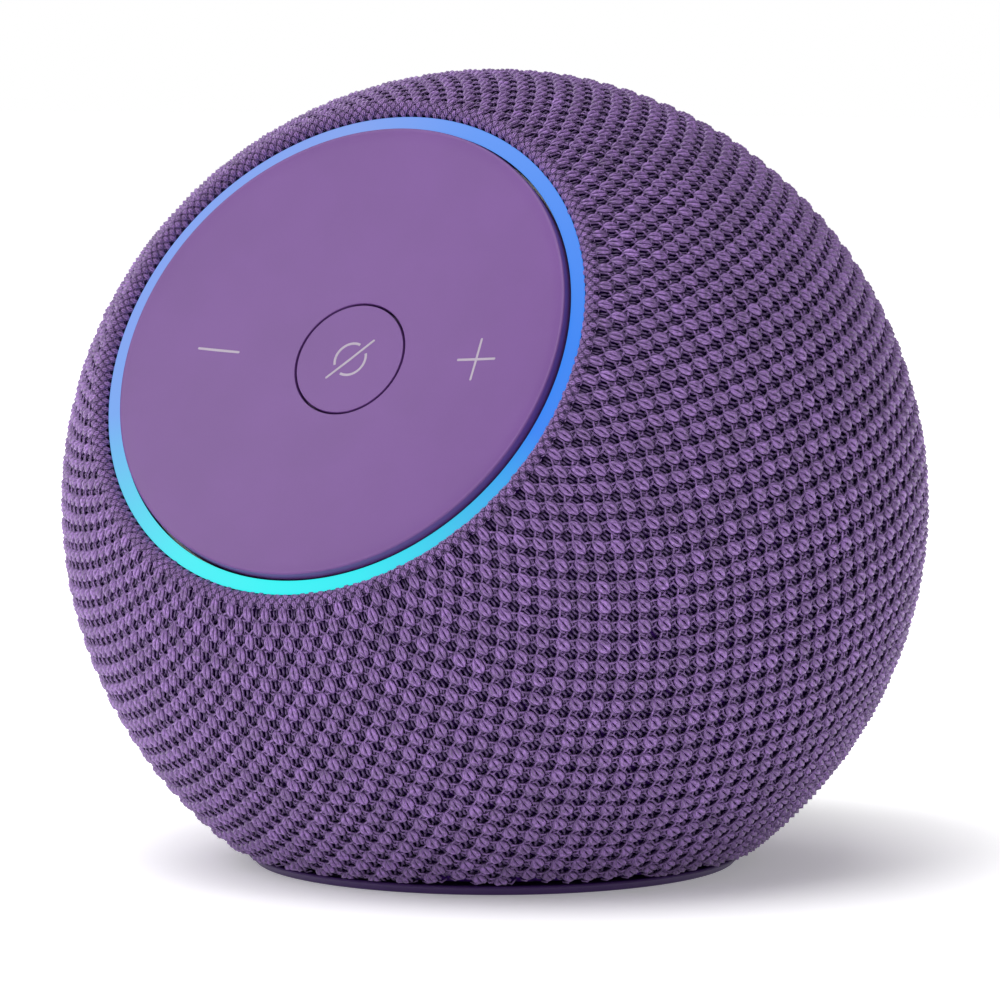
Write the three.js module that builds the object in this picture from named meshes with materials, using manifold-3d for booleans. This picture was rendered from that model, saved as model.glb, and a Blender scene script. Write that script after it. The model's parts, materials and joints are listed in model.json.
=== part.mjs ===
// A ball-shaped smart speaker with a knitted cover: a dished control disc inside a ring of light,
// a woofer and a tweeter behind the grille, its boards, and a flat foot to stand on.
// Millimetres, +Z up, the disc faces -Y, and the origin is under the ball on the table.
import * as THREE from "three";
import { mergeVertices } from "three/addons/utils/BufferGeometryUtils.js";
import Module from "manifold-3d";

const wasm = await Module();
wasm.setup();

// ---- Driving dimensions ----
const GAP = 0.3; // clearance between neighbours that touch
const BALL_RADIUS = 54.35;
const KNIT_THICKNESS = 1.85;
const SHELL_THICKNESS = 1.6;

const CONTROL_TILT = 30; // degrees that the control disc looks up
const DISC_RADIUS = 29.85;
const DISC_RECESS = 2.67; // of the disc's rim below the ball's surface, along the disc's axis
const DISC_DISH = 3.2; // depth of the disc's hollow
const DISC_THICKNESS = 1.6;
const DISC_RIM_WALL = 1.45;
const LIGHT_RING_WIDTH = 1.85;
const LIGHT_RING_DROP = 1.05; // of the ring's face below the disc's rim
const LIGHT_RING_DEPTH = 1.8;
const LIGHT_TRAY_DEPTH = 3.4;
const LIGHT_TRAY_WIDTH = 4.8;
const LED_COUNT = 8;
const LED_SIZE = 2.8;
const LED_HEIGHT = 0.9;
const BUTTON_RADIUS = 7.15;
const BUTTON_FLANGE = 1.45;
const BUTTON_TRAVEL = 0.6;
const BOARD_THICKNESS = 1.2;
const CONTROL_BOARD_DROP = 8.15; // of the board's top below the disc's rim
const SWITCH_SIZE = 5.2;
const SWITCH_HEIGHT = 1.1;
const RETAINER_WIDTH = 2.0;
const COLLAR_WALL = 1.7;
const FRAME_PLATE = 1.5;
const FRAME_WALL = 1.0;

const SCREW_RADIUS = 0.8;
const SCREW_HEAD_RADIUS = 1.5;
const SCREW_HEAD_HEIGHT = 0.8;
const SCREW_HOLE_RADIUS = SCREW_RADIUS + GAP;

const GRILLE_SLOT_RADIUS = 1.5;
const GRILLE_SLOT_SPACING = 5.6;
const BAFFLE_THICKNESS = 2.0;
const SPLIT_Y = -10.7; // where the front shell meets the rear shell

const WOOFER_RADIUS = 31.5;
const WOOFER_FLANGE = 1.0;
const WOOFER_EDGE = 9; // width of the surround and flange outside the cone
const WOOFER_COIL_RADIUS = 6.8;
const WOOFER_MAGNET_DEPTH = 8;
const WOOFER_PLATE_DEPTH = 3;
const SHEET = 0.6; // cone, dome and spider thickness

const TWEETER_TILT = -38;
const TWEETER_RADIUS = 12;
const TWEETER_DOME_RADIUS = 9.6;
const TWEETER_REACH = 42; // of its flange from the ball's centre
const TWEETER_DEPTH = 8.5;

const FOOT_RADIUS = 31.25;
const FOOT_TAPER = 0.95;
const FOOT_HEIGHT = 1.3;
const FOOT_INNER_RADIUS = 24;
const HEM_GAP = 0.5; // between the knit's hem and the foot
const HEM_OVERHANG = 1.86; // of the hem outside the foot
const BASE_PLATE_THICKNESS = 1.8;
const BASE_SCREW_CIRCLE = 18;
const CHASSIS_RADIUS = 32;
const CHASSIS_THICKNESS = 1.5;
const CHASSIS_LIFT = 2.3; // of the chassis plate above the shells' cut

const REAR_PLATE_RADIUS = 16; // of the plate opposite the control disc, with the power port in it
const REAR_PLATE_RECESS = 0.45; // of its face below the knit
const PORT_RADIUS = 4.6;
const PORT_WALL = 1.4;
const JACK_BORE_RADIUS = 2.75;
const JACK_PIN_RADIUS = 0.65;
const JACK_LENGTH = 7;

const MAIN_BOARD_WIDTH = 44;
const MAIN_BOARD_HEIGHT = 38;
const MAIN_BOARD_SETBACK = 20; // of the main board in front of the port's mouth
const RIBBON_WIDTH = 8;
const RIBBON_THICKNESS = 0.4;
const RIBBON_CLEARANCE = 3; // where it runs back over the woofer
const RIBBON_INSET = 6.65; // of its slot from the control board's edge

const VISIBLE_SIDES = 48; // round pieces that show
const BALL_SIDES = 40;
const HIDDEN_SIDES = 28; // round pieces inside

// ---- Sizes that follow ----
const radians = THREE.MathUtils.degToRad;
const TILT_SINE = Math.sin(radians(CONTROL_TILT));
const TILT_COSINE = Math.cos(radians(CONTROL_TILT));
const HEM_DROP = Math.sqrt(BALL_RADIUS ** 2 - (FOOT_RADIUS + HEM_OVERHANG) ** 2);
const CENTRE_HEIGHT = HEM_DROP + HEM_GAP + FOOT_HEIGHT; // of the ball's centre above the table
const DISC_EDGE_HEIGHT = Math.sqrt(BALL_RADIUS ** 2 - DISC_RADIUS ** 2) - DISC_RECESS;
const SHELL_OUTER = BALL_RADIUS - KNIT_THICKNESS - GAP;
const SHELL_INNER = SHELL_OUTER - SHELL_THICKNESS;
const OPENING_RADIUS = DISC_RADIUS + GAP + LIGHT_RING_WIDTH + GAP;
const LIGHT_RING_TOP = DISC_EDGE_HEIGHT - LIGHT_RING_DROP;
const LIGHT_RING_BOTTOM = LIGHT_RING_TOP - LIGHT_RING_DEPTH;
const TRAY_TOP = LIGHT_RING_BOTTOM - GAP;
const TRAY_BOTTOM = TRAY_TOP - LIGHT_TRAY_DEPTH;
const DISC_CENTRE = DISC_EDGE_HEIGHT - DISC_DISH;
const BOARD_TOP = DISC_EDGE_HEIGHT - CONTROL_BOARD_DROP;
const BOARD_BOTTOM = BOARD_TOP - BOARD_THICKNESS;
const SCREW_CLEAR = SCREW_HEAD_RADIUS + GAP;
const RETAINER_RADIUS = OPENING_RADIUS + RETAINER_WIDTH;
const COLLAR_INNER = RETAINER_RADIUS + GAP;
const COLLAR_OUTER = COLLAR_INNER + COLLAR_WALL;
const FRAME_TOP = BOARD_BOTTOM - 2 * GAP - SCREW_HEAD_HEIGHT;
const FRAME_BOTTOM = FRAME_TOP - FRAME_PLATE;
const COLLAR_LEDGE_TOP = FRAME_BOTTOM - GAP;
const COLLAR_LEDGE_BOTTOM = COLLAR_LEDGE_TOP - 1.8;
const CONTROL_SCREW_CIRCLE = RETAINER_RADIUS - SCREW_CLEAR;
const FRAME_WALL_OUTER = CONTROL_SCREW_CIRCLE - SCREW_CLEAR;
const BOARD_RADIUS = FRAME_WALL_OUTER - FRAME_WALL - GAP;
const LED_CIRCLE = BOARD_RADIUS - LED_SIZE / 2 - 0.2;
const FOOT_TOP = FOOT_HEIGHT - CENTRE_HEIGHT;
const BASE_BOTTOM = FOOT_TOP + GAP;
const HEM_HEIGHT = FOOT_TOP + HEM_GAP;
const BASE_TOP = BASE_BOTTOM + BASE_PLATE_THICKNESS;
const SHELL_CUT = BASE_TOP + GAP;
const CHASSIS_BOTTOM = SHELL_CUT + CHASSIS_LIFT;
const CHASSIS_TOP = CHASSIS_BOTTOM + CHASSIS_THICKNESS;
const WOOFER_FRONT = BAFFLE_THICKNESS / 2 + GAP + WOOFER_FLANGE - SPLIT_Y;
const WOOFER_CONE_RADIUS = WOOFER_RADIUS - WOOFER_EDGE;
const WOOFER_MAGNET_RADIUS = WOOFER_CONE_RADIUS - 4.5;
const PORT_Z = -BALL_RADIUS * TILT_SINE; // opposite the control disc
const MAIN_BOARD_Y = BALL_RADIUS * TILT_COSINE - MAIN_BOARD_SETBACK;
const RIBBON_LEVEL = WOOFER_RADIUS + RIBBON_CLEARANCE;
const RIBBON_OFFSET = BOARD_RADIUS - RIBBON_INSET;


// ---- Shapes ----
const FAR = 4 * BALL_RADIUS;

// Points (radius, z) of a profile about +Z become a turned solid, whichever way they run.
function turned(profile, segments = HIDDEN_SIDES) {
  let area = 0;
  profile.forEach(([r, z], i) => {
    const [nextR, nextZ] = profile[(i + 1) % profile.length];
    area += r * nextZ - nextR * z;
  });
  const ordered = area > 0 ? [...profile] : [...profile].reverse();
  const start = ordered.findIndex(([r], i) => r === 0 && ordered.at(i - 1)[0] === 0);
  const rolled = start < 0 ? [...ordered, ordered[0]] : [...ordered.slice(start), ...ordered.slice(0, start)];
  const points = rolled.map(([r, z]) => new THREE.Vector2(r, z));
  return new THREE.LatheGeometry(points, segments).rotateX(Math.PI / 2);
}

function disc(radius, bottom, top, segments = HIDDEN_SIDES) {
  return turned([[0, bottom], [radius, bottom], [radius, top], [0, top]], segments);
}

function ring(inner, outer, bottom, top, segments = HIDDEN_SIDES) {
  return turned([[inner, bottom], [outer, bottom], [outer, top], [inner, top]], segments);
}

// A box from its lowest corner to its highest.
function block([x0, y0, z0], [x1, y1, z1]) {
  const box = new THREE.BoxGeometry(x1 - x0, y1 - y0, z1 - z0);
  return box.translate((x0 + x1) / 2, (y0 + y1) / 2, (z0 + z1) / 2);
}

function sphere(radius) {
  return new THREE.SphereGeometry(radius, BALL_SIDES, BALL_SIDES / 2).rotateX(Math.PI / 2);
}

// Points along a dome's shell: out along its upper face, and back along its lower one.
function domeShell(radius, rise, base, thickness, steps = 4) {
  const upper = [];
  const lower = [];
  for (let i = 0; i <= steps; i++) {
    const r = (radius * i) / steps;
    const z = base + rise * (1 - (i / steps) ** 2);
    upper.push([r, z + thickness]);
    lower.unshift([r, z]);
  }
  return [...upper, ...lower];
}

// A closed mesh as a solid that can be joined and cut.
function solid(geometry) {
  const bare = geometry.clone();
  bare.deleteAttribute("normal");
  bare.deleteAttribute("uv");
  const merged = mergeVertices(bare, 1e-4);
  const corners = merged.index.array;
  const faces = [];
  for (let i = 0; i < corners.length; i += 3) {
    const [a, b, c] = [corners[i], corners[i + 1], corners[i + 2]];
    if (a !== b && b !== c && c !== a) faces.push(a, b, c);
  }
  return new wasm.Manifold(
    new wasm.Mesh({
      numProp: 3,
      vertProperties: new Float32Array(merged.attributes.position.array),
      triVerts: new Uint32Array(faces),
    }),
  );
}

function geometryOf(made) {
  const mesh = made.getMesh();
  const positions = new Float32Array(mesh.numVert * 3);
  for (let i = 0; i < mesh.numVert; i++) {
    const start = i * mesh.numProp;
    positions.set(mesh.vertProperties.subarray(start, start + 3), i * 3);
  }
  return new THREE.BufferGeometry()
    .setAttribute("position", new THREE.BufferAttribute(positions, 3))
    .setIndex(new THREE.BufferAttribute(mesh.triVerts, 1));
}

// What two shapes have in common.
function overlap(shape, other) {
  return geometryOf(solid(shape).intersect(solid(other)));
}

// One shape, joined with some and then cut by others.
function carve(shape, { add = [], cut = [] }) {
  let made = solid(shape);
  for (const other of add) made = made.add(solid(other));
  for (const other of cut) made = made.subtract(solid(other));
  return geometryOf(made);
}

// The same shape at equal angles round +Z, at a distance from it.
function aroundZ(count, distance, make, firstAngle = 0) {
  return Array.from({ length: count }, (_, i) =>
    make(i).translate(distance, 0, 0).rotateZ(radians(firstAngle + (360 * i) / count)),
  );
}

// ---- Groups: each holds what lies round one axis, which is its own +Z ----
const speaker = new THREE.Group();
const ball = new THREE.Group();
ball.position.z = CENTRE_HEIGHT;
speaker.add(ball);

// A group whose +Z looks to the front, this many degrees above the level.
function axisGroup(elevation) {
  const group = new THREE.Group();
  group.rotation.x = radians(90 - elevation);
  group.updateMatrix();
  ball.add(group);
  return group;
}

const controls = axisGroup(CONTROL_TILT);
const woofer = axisGroup(0);
const tweeter = axisGroup(TWEETER_TILT);
const port = axisGroup(180);
port.position.z = PORT_Z;
port.updateMatrix();

// A group's shape, as it lies in the ball.
function inBall(geometry, group) {
  return geometry.clone().applyMatrix4(group.matrix);
}

const FINISHES = {
  yarn: { color: 0x6e5591, roughness: 0.95, metalness: 0 },
  purplePlastic: { color: 0x8a63a6, roughness: 0.45, metalness: 0 },
  darkPlastic: { color: 0x26232b, roughness: 0.6, metalness: 0 },
  diffuser: { color: 0x7fb2ff, roughness: 0.4, metalness: 0, emissive: 0x1c5cff },
  whitePlastic: { color: 0xe8e8ee, roughness: 0.5, metalness: 0 },
  rubber: { color: 0x35303a, roughness: 0.9, metalness: 0 },
  board: { color: 0x17402c, roughness: 0.55, metalness: 0 },
  chip: { color: 0x1a1a1c, roughness: 0.5, metalness: 0 },
  steel: { color: 0xa9abb0, roughness: 0.35, metalness: 1 },
  aluminium: { color: 0xc4c6ca, roughness: 0.4, metalness: 1 },
  magnet: { color: 0x3b3b40, roughness: 0.7, metalness: 0.3 },
  paper: { color: 0x1f1f22, roughness: 0.9, metalness: 0 },
  cloth: { color: 0xb08a4a, roughness: 0.95, metalness: 0 },
  copper: { color: 0xb06a3a, roughness: 0.4, metalness: 1 },
  film: { color: 0xc98b2e, roughness: 0.4, metalness: 0 },
};

function place(group, name, finish, geometry) {
  const mesh = new THREE.Mesh(geometry, new THREE.MeshStandardMaterial(FINISHES[finish]));
  mesh.name = name;
  group.add(mesh);
  return mesh;
}

// ---- Fasteners ----
// A pan-head screw along +Z: its head stands on `seat` and its shank reaches down to `tip`.
function screw(seat, tip) {
  return turned(
    [[0, tip], [SCREW_RADIUS, tip + SCREW_RADIUS], [SCREW_RADIUS, seat], [SCREW_HEAD_RADIUS, seat],
      [SCREW_HEAD_RADIUS, seat + SCREW_HEAD_HEIGHT / 2], [SCREW_HEAD_RADIUS / 2, seat + SCREW_HEAD_HEIGHT],
      [0, seat + SCREW_HEAD_HEIGHT]],
    12,
  );
}

function screwHole(bottom, top) {
  return disc(SCREW_HOLE_RADIUS, bottom, top, 12);
}

// ---- Ball: knitted cover and the two shells under it ----
const portCut = inBall(disc(PORT_RADIUS + PORT_WALL + GAP, 0, FAR), port);
const shellFloor = block([-FAR, -FAR, -FAR], [FAR, FAR, SHELL_CUT]);

function hollowBall(outer, inner, cuts) {
  return carve(sphere(outer), { cut: [sphere(inner), ...cuts] });
}

function buildKnitCover() {
  const lipBevel = 1.2;
  const lipTop = Math.sqrt(BALL_RADIUS ** 2 - OPENING_RADIUS ** 2);
  const opening = turned([
    [0, 0], [OPENING_RADIUS, 0], [OPENING_RADIUS, lipTop - lipBevel],
    [OPENING_RADIUS + 2 * lipBevel, lipTop + lipBevel], [0, FAR],
  ], VISIBLE_SIDES);
  const hem = block([-FAR, -FAR, -FAR], [FAR, FAR, HEM_HEIGHT]);
  const rearOpening = disc(REAR_PLATE_RADIUS + GAP, -FAR, 0, VISIBLE_SIDES);
  const cuts = [inBall(opening, controls), hem, inBall(rearOpening, controls)];
  place(ball, "knit_cover", "yarn", hollowBall(BALL_RADIUS, SHELL_OUTER + GAP, cuts));
}

// Slots in rows round the front, where the sound comes out, clear of the controls and the base.
function grilleSlots() {
  const slots = [];
  for (const elevation of [-14, -25, -36]) {
    const rowRadius = SHELL_OUTER * Math.cos(radians(elevation));
    const step = THREE.MathUtils.radToDeg(GRILLE_SLOT_SPACING / rowRadius);
    const slot = new THREE.BoxGeometry(2 * GRILLE_SLOT_RADIUS, 12, 6.5);
    for (let i = -3; i <= 3; i++) {
      const atFront = slot.clone().translate(0, -SHELL_OUTER, 0);
      slots.push(atFront.rotateX(radians(-elevation)).rotateZ(radians(i * step * 1.3)));
    }
  }
  return slots;
}

function buildShells() {
  const opening = inBall(disc(COLLAR_INNER, COLLAR_LEDGE_TOP, FAR), controls);
  const collarRim = Math.sqrt(SHELL_INNER ** 2 - COLLAR_OUTER ** 2) + SHELL_THICKNESS / 2;
  const collar = turned([
    [COLLAR_INNER, COLLAR_LEDGE_TOP], [COLLAR_INNER, collarRim], [COLLAR_OUTER, collarRim],
    [COLLAR_OUTER, COLLAR_LEDGE_BOTTOM], [FRAME_WALL_OUTER - FRAME_WALL, COLLAR_LEDGE_BOTTOM],
    [FRAME_WALL_OUTER - FRAME_WALL, COLLAR_LEDGE_TOP],
  ]);
  const screwHoles = aroundZ(3, CONTROL_SCREW_CIRCLE, () => screwHole(COLLAR_LEDGE_BOTTOM - 1, COLLAR_LEDGE_TOP + 1), 30);
  const behind = block([-FAR, SPLIT_Y - GAP / 2, -FAR], [FAR, FAR, FAR]);
  const front = hollowBall(SHELL_OUTER, SHELL_INNER, [opening, behind, shellFloor, ...grilleSlots()]);
  place(ball, "front_shell", "darkPlastic", carve(front, {
    add: [inBall(collar, controls)],
    cut: screwHoles.map((hole) => inBall(hole, controls)),
  }));
  const ahead = block([-FAR, -FAR, -FAR], [FAR, SPLIT_Y + GAP / 2, FAR]);
  place(ball, "rear_shell", "darkPlastic", hollowBall(SHELL_OUTER, SHELL_INNER, [ahead, shellFloor, portCut]));
}

// ---- Control disc and what lies behind it ----
function dishedHeight(r) {
  return DISC_CENTRE + DISC_DISH * (r / DISC_RADIUS) ** 2;
}

// Points along the disc's hollow between two radii, `below` its face.
function dishLine(from, to, below, steps = 5) {
  return Array.from({ length: steps + 1 }, (_, i) => {
    const r = from + ((to - from) * i) / steps;
    return [r, dishedHeight(r) - below];
  });
}

function buildControlDisc() {
  const inner = BUTTON_RADIUS + GAP;
  const rimInner = DISC_RADIUS - DISC_RIM_WALL;
  const rimBevel = 0.25;
  const profile = [
    ...dishLine(inner, DISC_RADIUS - rimBevel, 0),
    [DISC_RADIUS, DISC_EDGE_HEIGHT - rimBevel],
    [DISC_RADIUS, LIGHT_RING_BOTTOM], [rimInner, LIGHT_RING_BOTTOM],
    ...dishLine(inner, rimInner, DISC_THICKNESS).reverse(),
  ];
  place(controls, "control_disc", "purplePlastic", turned(profile, VISIBLE_SIDES));
  const filmTop = DISC_THICKNESS + GAP;
  const filmInner = BUTTON_RADIUS + BUTTON_FLANGE + 2 * GAP;
  const filmOuter = rimInner - GAP;
  const filmProfile = [
    ...dishLine(filmInner, filmOuter, filmTop),
    ...dishLine(filmInner, filmOuter, filmTop + GAP).reverse(),
  ];
  place(controls, "touch_film", "film", turned(filmProfile));
}

const BUTTON_FLANGE_TOP = dishedHeight(0) - DISC_THICKNESS - GAP;
const BUTTON_FLANGE_BOTTOM = BUTTON_FLANGE_TOP - SHEET;
const SWITCH_TOP = BOARD_TOP + GAP + SWITCH_HEIGHT;

function buildMuteButton() {
  const flange = BUTTON_RADIUS + BUTTON_FLANGE;
  const stem = 1.6;
  const stemEnd = SWITCH_TOP + BUTTON_TRAVEL + 0.05;
  const profile = [
    ...dishLine(0, BUTTON_RADIUS, 0, 3),
    [BUTTON_RADIUS, BUTTON_FLANGE_TOP], [flange, BUTTON_FLANGE_TOP], [flange, BUTTON_FLANGE_BOTTOM],
    [stem, BUTTON_FLANGE_BOTTOM], [stem, stemEnd], [0, stemEnd],
  ];
  place(controls, "mute_button", "purplePlastic", turned(profile, VISIBLE_SIDES));
  const guideInner = flange + GAP;
  const guideTop = BUTTON_FLANGE_TOP - GAP;
  place(controls, "button_guide", "darkPlastic", ring(guideInner, guideInner + 1.2, BOARD_TOP + GAP, guideTop));
  const half = SWITCH_SIZE / 2;
  place(controls, "mute_switch", "chip", block([-half, -half, BOARD_TOP + GAP], [half, half, SWITCH_TOP]));
}

function buildLightRing() {
  const inner = DISC_RADIUS + GAP;
  const outer = inner + LIGHT_RING_WIDTH;
  place(controls, "light_ring", "diffuser", ring(inner, outer, LIGHT_RING_BOTTOM, LIGHT_RING_TOP, VISIBLE_SIDES));
  place(controls, "light_tray", "whitePlastic", ring(outer - LIGHT_TRAY_WIDTH, outer, TRAY_BOTTOM, TRAY_TOP));
  const retainerTop = (r) => Math.sqrt(SHELL_OUTER ** 2 - r ** 2) - GAP;
  place(controls, "cover_retainer", "darkPlastic", turned([
    [OPENING_RADIUS, TRAY_BOTTOM], [RETAINER_RADIUS, TRAY_BOTTOM],
    [RETAINER_RADIUS, retainerTop(RETAINER_RADIUS)], [OPENING_RADIUS, retainerTop(OPENING_RADIUS)],
  ]));
}

function buildControlBoard() {
  place(controls, "control_board", "board", disc(BOARD_RADIUS, BOARD_BOTTOM, BOARD_TOP));
  const half = LED_SIZE / 2;
  const bottom = BOARD_TOP + GAP;
  const leds = aroundZ(LED_COUNT, LED_CIRCLE, () => block([-half, -half, bottom], [half, half, bottom + LED_HEIGHT]));
  leds.forEach((led, i) => place(controls, "ring_led_" + (i + 1), "whitePlastic", led));
  const microphones = aroundZ(2, BOARD_RADIUS / 2 + GAP, () => block([-1.6, -1.2, bottom], [1.6, 1.2, bottom + 1]), 90);
  microphones.forEach((mic, i) => place(controls, "microphone_" + (i + 1), "steel", mic));
}

const RIBBON_SLOT_WIDTH = RIBBON_WIDTH / 2 + 1;

function buildControlFrame() {
  const wallInner = FRAME_WALL_OUTER - FRAME_WALL;
  const ledge = wallInner - FRAME_PLATE;
  const plateRadius = RETAINER_RADIUS;
  const wallTop = TRAY_BOTTOM - GAP;
  const cup = turned([
    [0, FRAME_BOTTOM], [plateRadius, FRAME_BOTTOM], [plateRadius, FRAME_TOP], [FRAME_WALL_OUTER, FRAME_TOP],
    [FRAME_WALL_OUTER, wallTop], [wallInner, wallTop], [wallInner, BOARD_BOTTOM - GAP],
    [ledge, BOARD_BOTTOM - GAP], [ledge, FRAME_TOP], [0, FRAME_TOP],
  ]);
  const holes = aroundZ(3, CONTROL_SCREW_CIRCLE, () => screwHole(FRAME_BOTTOM - 1, FRAME_TOP + 1), 30);
  const slot = block(
    [-RIBBON_SLOT_WIDTH, RIBBON_OFFSET - 1.75, FRAME_BOTTOM - 1],
    [RIBBON_SLOT_WIDTH, RIBBON_OFFSET + 1.75, FRAME_TOP + 0.5],
  );
  place(controls, "control_frame", "darkPlastic", carve(cup, { cut: [...holes, slot] }));
  const screws = aroundZ(3, CONTROL_SCREW_CIRCLE, () => screw(FRAME_TOP + GAP, COLLAR_LEDGE_BOTTOM + GAP), 30);
  screws.forEach((made, i) => place(controls, "control_screw_" + (i + 1), "steel", made));
}

// ---- Baffle, woofer and tweeter ----
const BASKET_MOUTH = WOOFER_CONE_RADIUS + 4.9;
const BASKET_WALL = 0.8;
const BASKET_RIM = 2.4; // depth of its straight mouth, where the surround sits
const BASKET_FLOOR = WOOFER_FRONT - 14.8;
const FLANGE_BACK = WOOFER_FRONT - WOOFER_FLANGE;
const WOOFER_SCREW_CIRCLE = WOOFER_RADIUS - SCREW_HEAD_RADIUS - GAP;
const BAFFLE_FRONT = FLANGE_BACK - GAP;
const BAFFLE_BACK = BAFFLE_FRONT - BAFFLE_THICKNESS;

function wooferScrewHoles(bottom, top) {
  return aroundZ(4, WOOFER_SCREW_CIRCLE, () => screwHole(bottom, top), 45);
}

function buildBaffle() {
  const radius = Math.sqrt(SHELL_INNER ** 2 - BAFFLE_FRONT ** 2) - 2 * GAP;
  const plate = disc(radius, BAFFLE_BACK, BAFFLE_FRONT, BALL_SIDES);
  const throat = disc(BASKET_MOUTH + BASKET_WALL + GAP, BAFFLE_BACK - 1, BAFFLE_FRONT + 1);
  const ribbonSlot = block(
    [-RIBBON_SLOT_WIDTH, RIBBON_LEVEL - 1.5, BAFFLE_BACK - 1],
    [RIBBON_SLOT_WIDTH, RIBBON_LEVEL + 1.5, BAFFLE_FRONT + 1],
  );
  const cut = [throat, ribbonSlot, ...wooferScrewHoles(BAFFLE_BACK - 1, BAFFLE_FRONT + 1)];
  const controlRoom = inBall(disc(COLLAR_OUTER + GAP, COLLAR_LEDGE_BOTTOM - GAP, FAR), controls);
  const baseRoom = block([-FAR, -FAR, -FAR], [FAR, FAR, CHASSIS_TOP + GAP]);
  const drilled = inBall(carve(plate, { cut }), woofer);
  place(ball, "baffle", "darkPlastic", carve(drilled, { cut: [controlRoom, baseRoom] }));
}

function buildWooferFrame() {
  const foot = WOOFER_COIL_RADIUS + 3.4;
  const bowl = turned([
    [WOOFER_RADIUS, FLANGE_BACK], [WOOFER_RADIUS, WOOFER_FRONT], [BASKET_MOUTH, WOOFER_FRONT],
    [BASKET_MOUTH, FLANGE_BACK - BASKET_RIM],
    [WOOFER_MAGNET_RADIUS + 2.6, BASKET_FLOOR], [foot, BASKET_FLOOR], [foot, BASKET_FLOOR - 1.2],
    [WOOFER_MAGNET_RADIUS + 3.4, BASKET_FLOOR - 1.2], [BASKET_MOUTH + BASKET_WALL, FLANGE_BACK - BASKET_RIM],
    [BASKET_MOUTH + BASKET_WALL, FLANGE_BACK],
  ]);
  const windows = aroundZ(6, WOOFER_MAGNET_RADIUS + 6, () => block([-6, -5, BASKET_FLOOR + 2.5], [6, 5, FLANGE_BACK - BASKET_RIM - 1]));
  const holes = wooferScrewHoles(FLANGE_BACK - 1, WOOFER_FRONT + 1);
  place(woofer, "woofer_basket", "steel", carve(bowl, { cut: [...windows, ...holes] }));
  const screws = aroundZ(4, WOOFER_SCREW_CIRCLE, () => screw(WOOFER_FRONT + GAP, BAFFLE_BACK - 2), 45);
  screws.forEach((made, i) => place(woofer, "woofer_screw_" + (i + 1), "steel", made));
  // The surround is a half roll between the cone's edge and the basket's mouth.
  const inner = WOOFER_CONE_RADIUS + 0.4;
  const rollRadius = (BASKET_MOUTH - GAP - inner) / 2;
  const rollCentre = inner + rollRadius;
  const rollBase = FLANGE_BACK - 1.4;
  const roll = (radius) => Array.from({ length: 6 }, (_, i) => {
    const angle = (Math.PI * i) / 5;
    return [rollCentre - radius * Math.cos(angle), rollBase + radius * Math.sin(angle)];
  });
  place(woofer, "woofer_surround", "rubber", turned([...roll(rollRadius), ...roll(rollRadius - SHEET).reverse()]));
  const spiderInner = WOOFER_COIL_RADIUS + 0.4;
  const spiderBottom = BASKET_FLOOR + GAP;
  place(woofer, "woofer_spider", "cloth", ring(spiderInner, WOOFER_MAGNET_RADIUS, spiderBottom, spiderBottom + SHEET));
}

const MAGNET_TOP = BASKET_FLOOR - 1.5 - WOOFER_PLATE_DEPTH - GAP;
const POLE_RADIUS = WOOFER_COIL_RADIUS - 1.2;

function buildWooferMotor() {
  const plateTop = BASKET_FLOOR - 1.5;
  const plateBottom = plateTop - WOOFER_PLATE_DEPTH;
  place(woofer, "woofer_top_plate", "steel",
    ring(WOOFER_COIL_RADIUS + 0.4, WOOFER_MAGNET_RADIUS - 1.5, plateBottom, plateTop));
  const magnetBottom = MAGNET_TOP - WOOFER_MAGNET_DEPTH;
  place(woofer, "woofer_magnet", "magnet",
    ring(WOOFER_COIL_RADIUS + 2.2, WOOFER_MAGNET_RADIUS, magnetBottom, MAGNET_TOP));
  const yokeTop = magnetBottom - GAP;
  place(woofer, "woofer_yoke", "steel", turned([
    [0, yokeTop - 3], [WOOFER_MAGNET_RADIUS - 1.5, yokeTop - 3], [WOOFER_MAGNET_RADIUS - 1.5, yokeTop],
    [POLE_RADIUS, yokeTop], [POLE_RADIUS, plateTop], [0, plateTop],
  ]));
}

function buildWooferCone() {
  const neck = WOOFER_COIL_RADIUS + 0.3;
  const neckHeight = BASKET_FLOOR + 4;
  const edgeHeight = FLANGE_BACK - 2.2;
  place(woofer, "woofer_cone", "paper", turned([
    [neck, neckHeight], [WOOFER_CONE_RADIUS, edgeHeight],
    [WOOFER_CONE_RADIUS, edgeHeight + SHEET], [neck, neckHeight + SHEET],
  ]));
  const slope = (edgeHeight - neckHeight) / (WOOFER_CONE_RADIUS - neck);
  const capRadius = neck + 1.4;
  const capBase = neckHeight + SHEET + (capRadius - neck) * slope + GAP;
  place(woofer, "woofer_dust_cap", "paper", turned(domeShell(capRadius, 2.4, capBase, SHEET)));
  place(woofer, "woofer_voice_coil", "copper",
    ring(WOOFER_COIL_RADIUS - 0.8, WOOFER_COIL_RADIUS, BASKET_FLOOR - 7.2, neckHeight - GAP));
}

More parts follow.
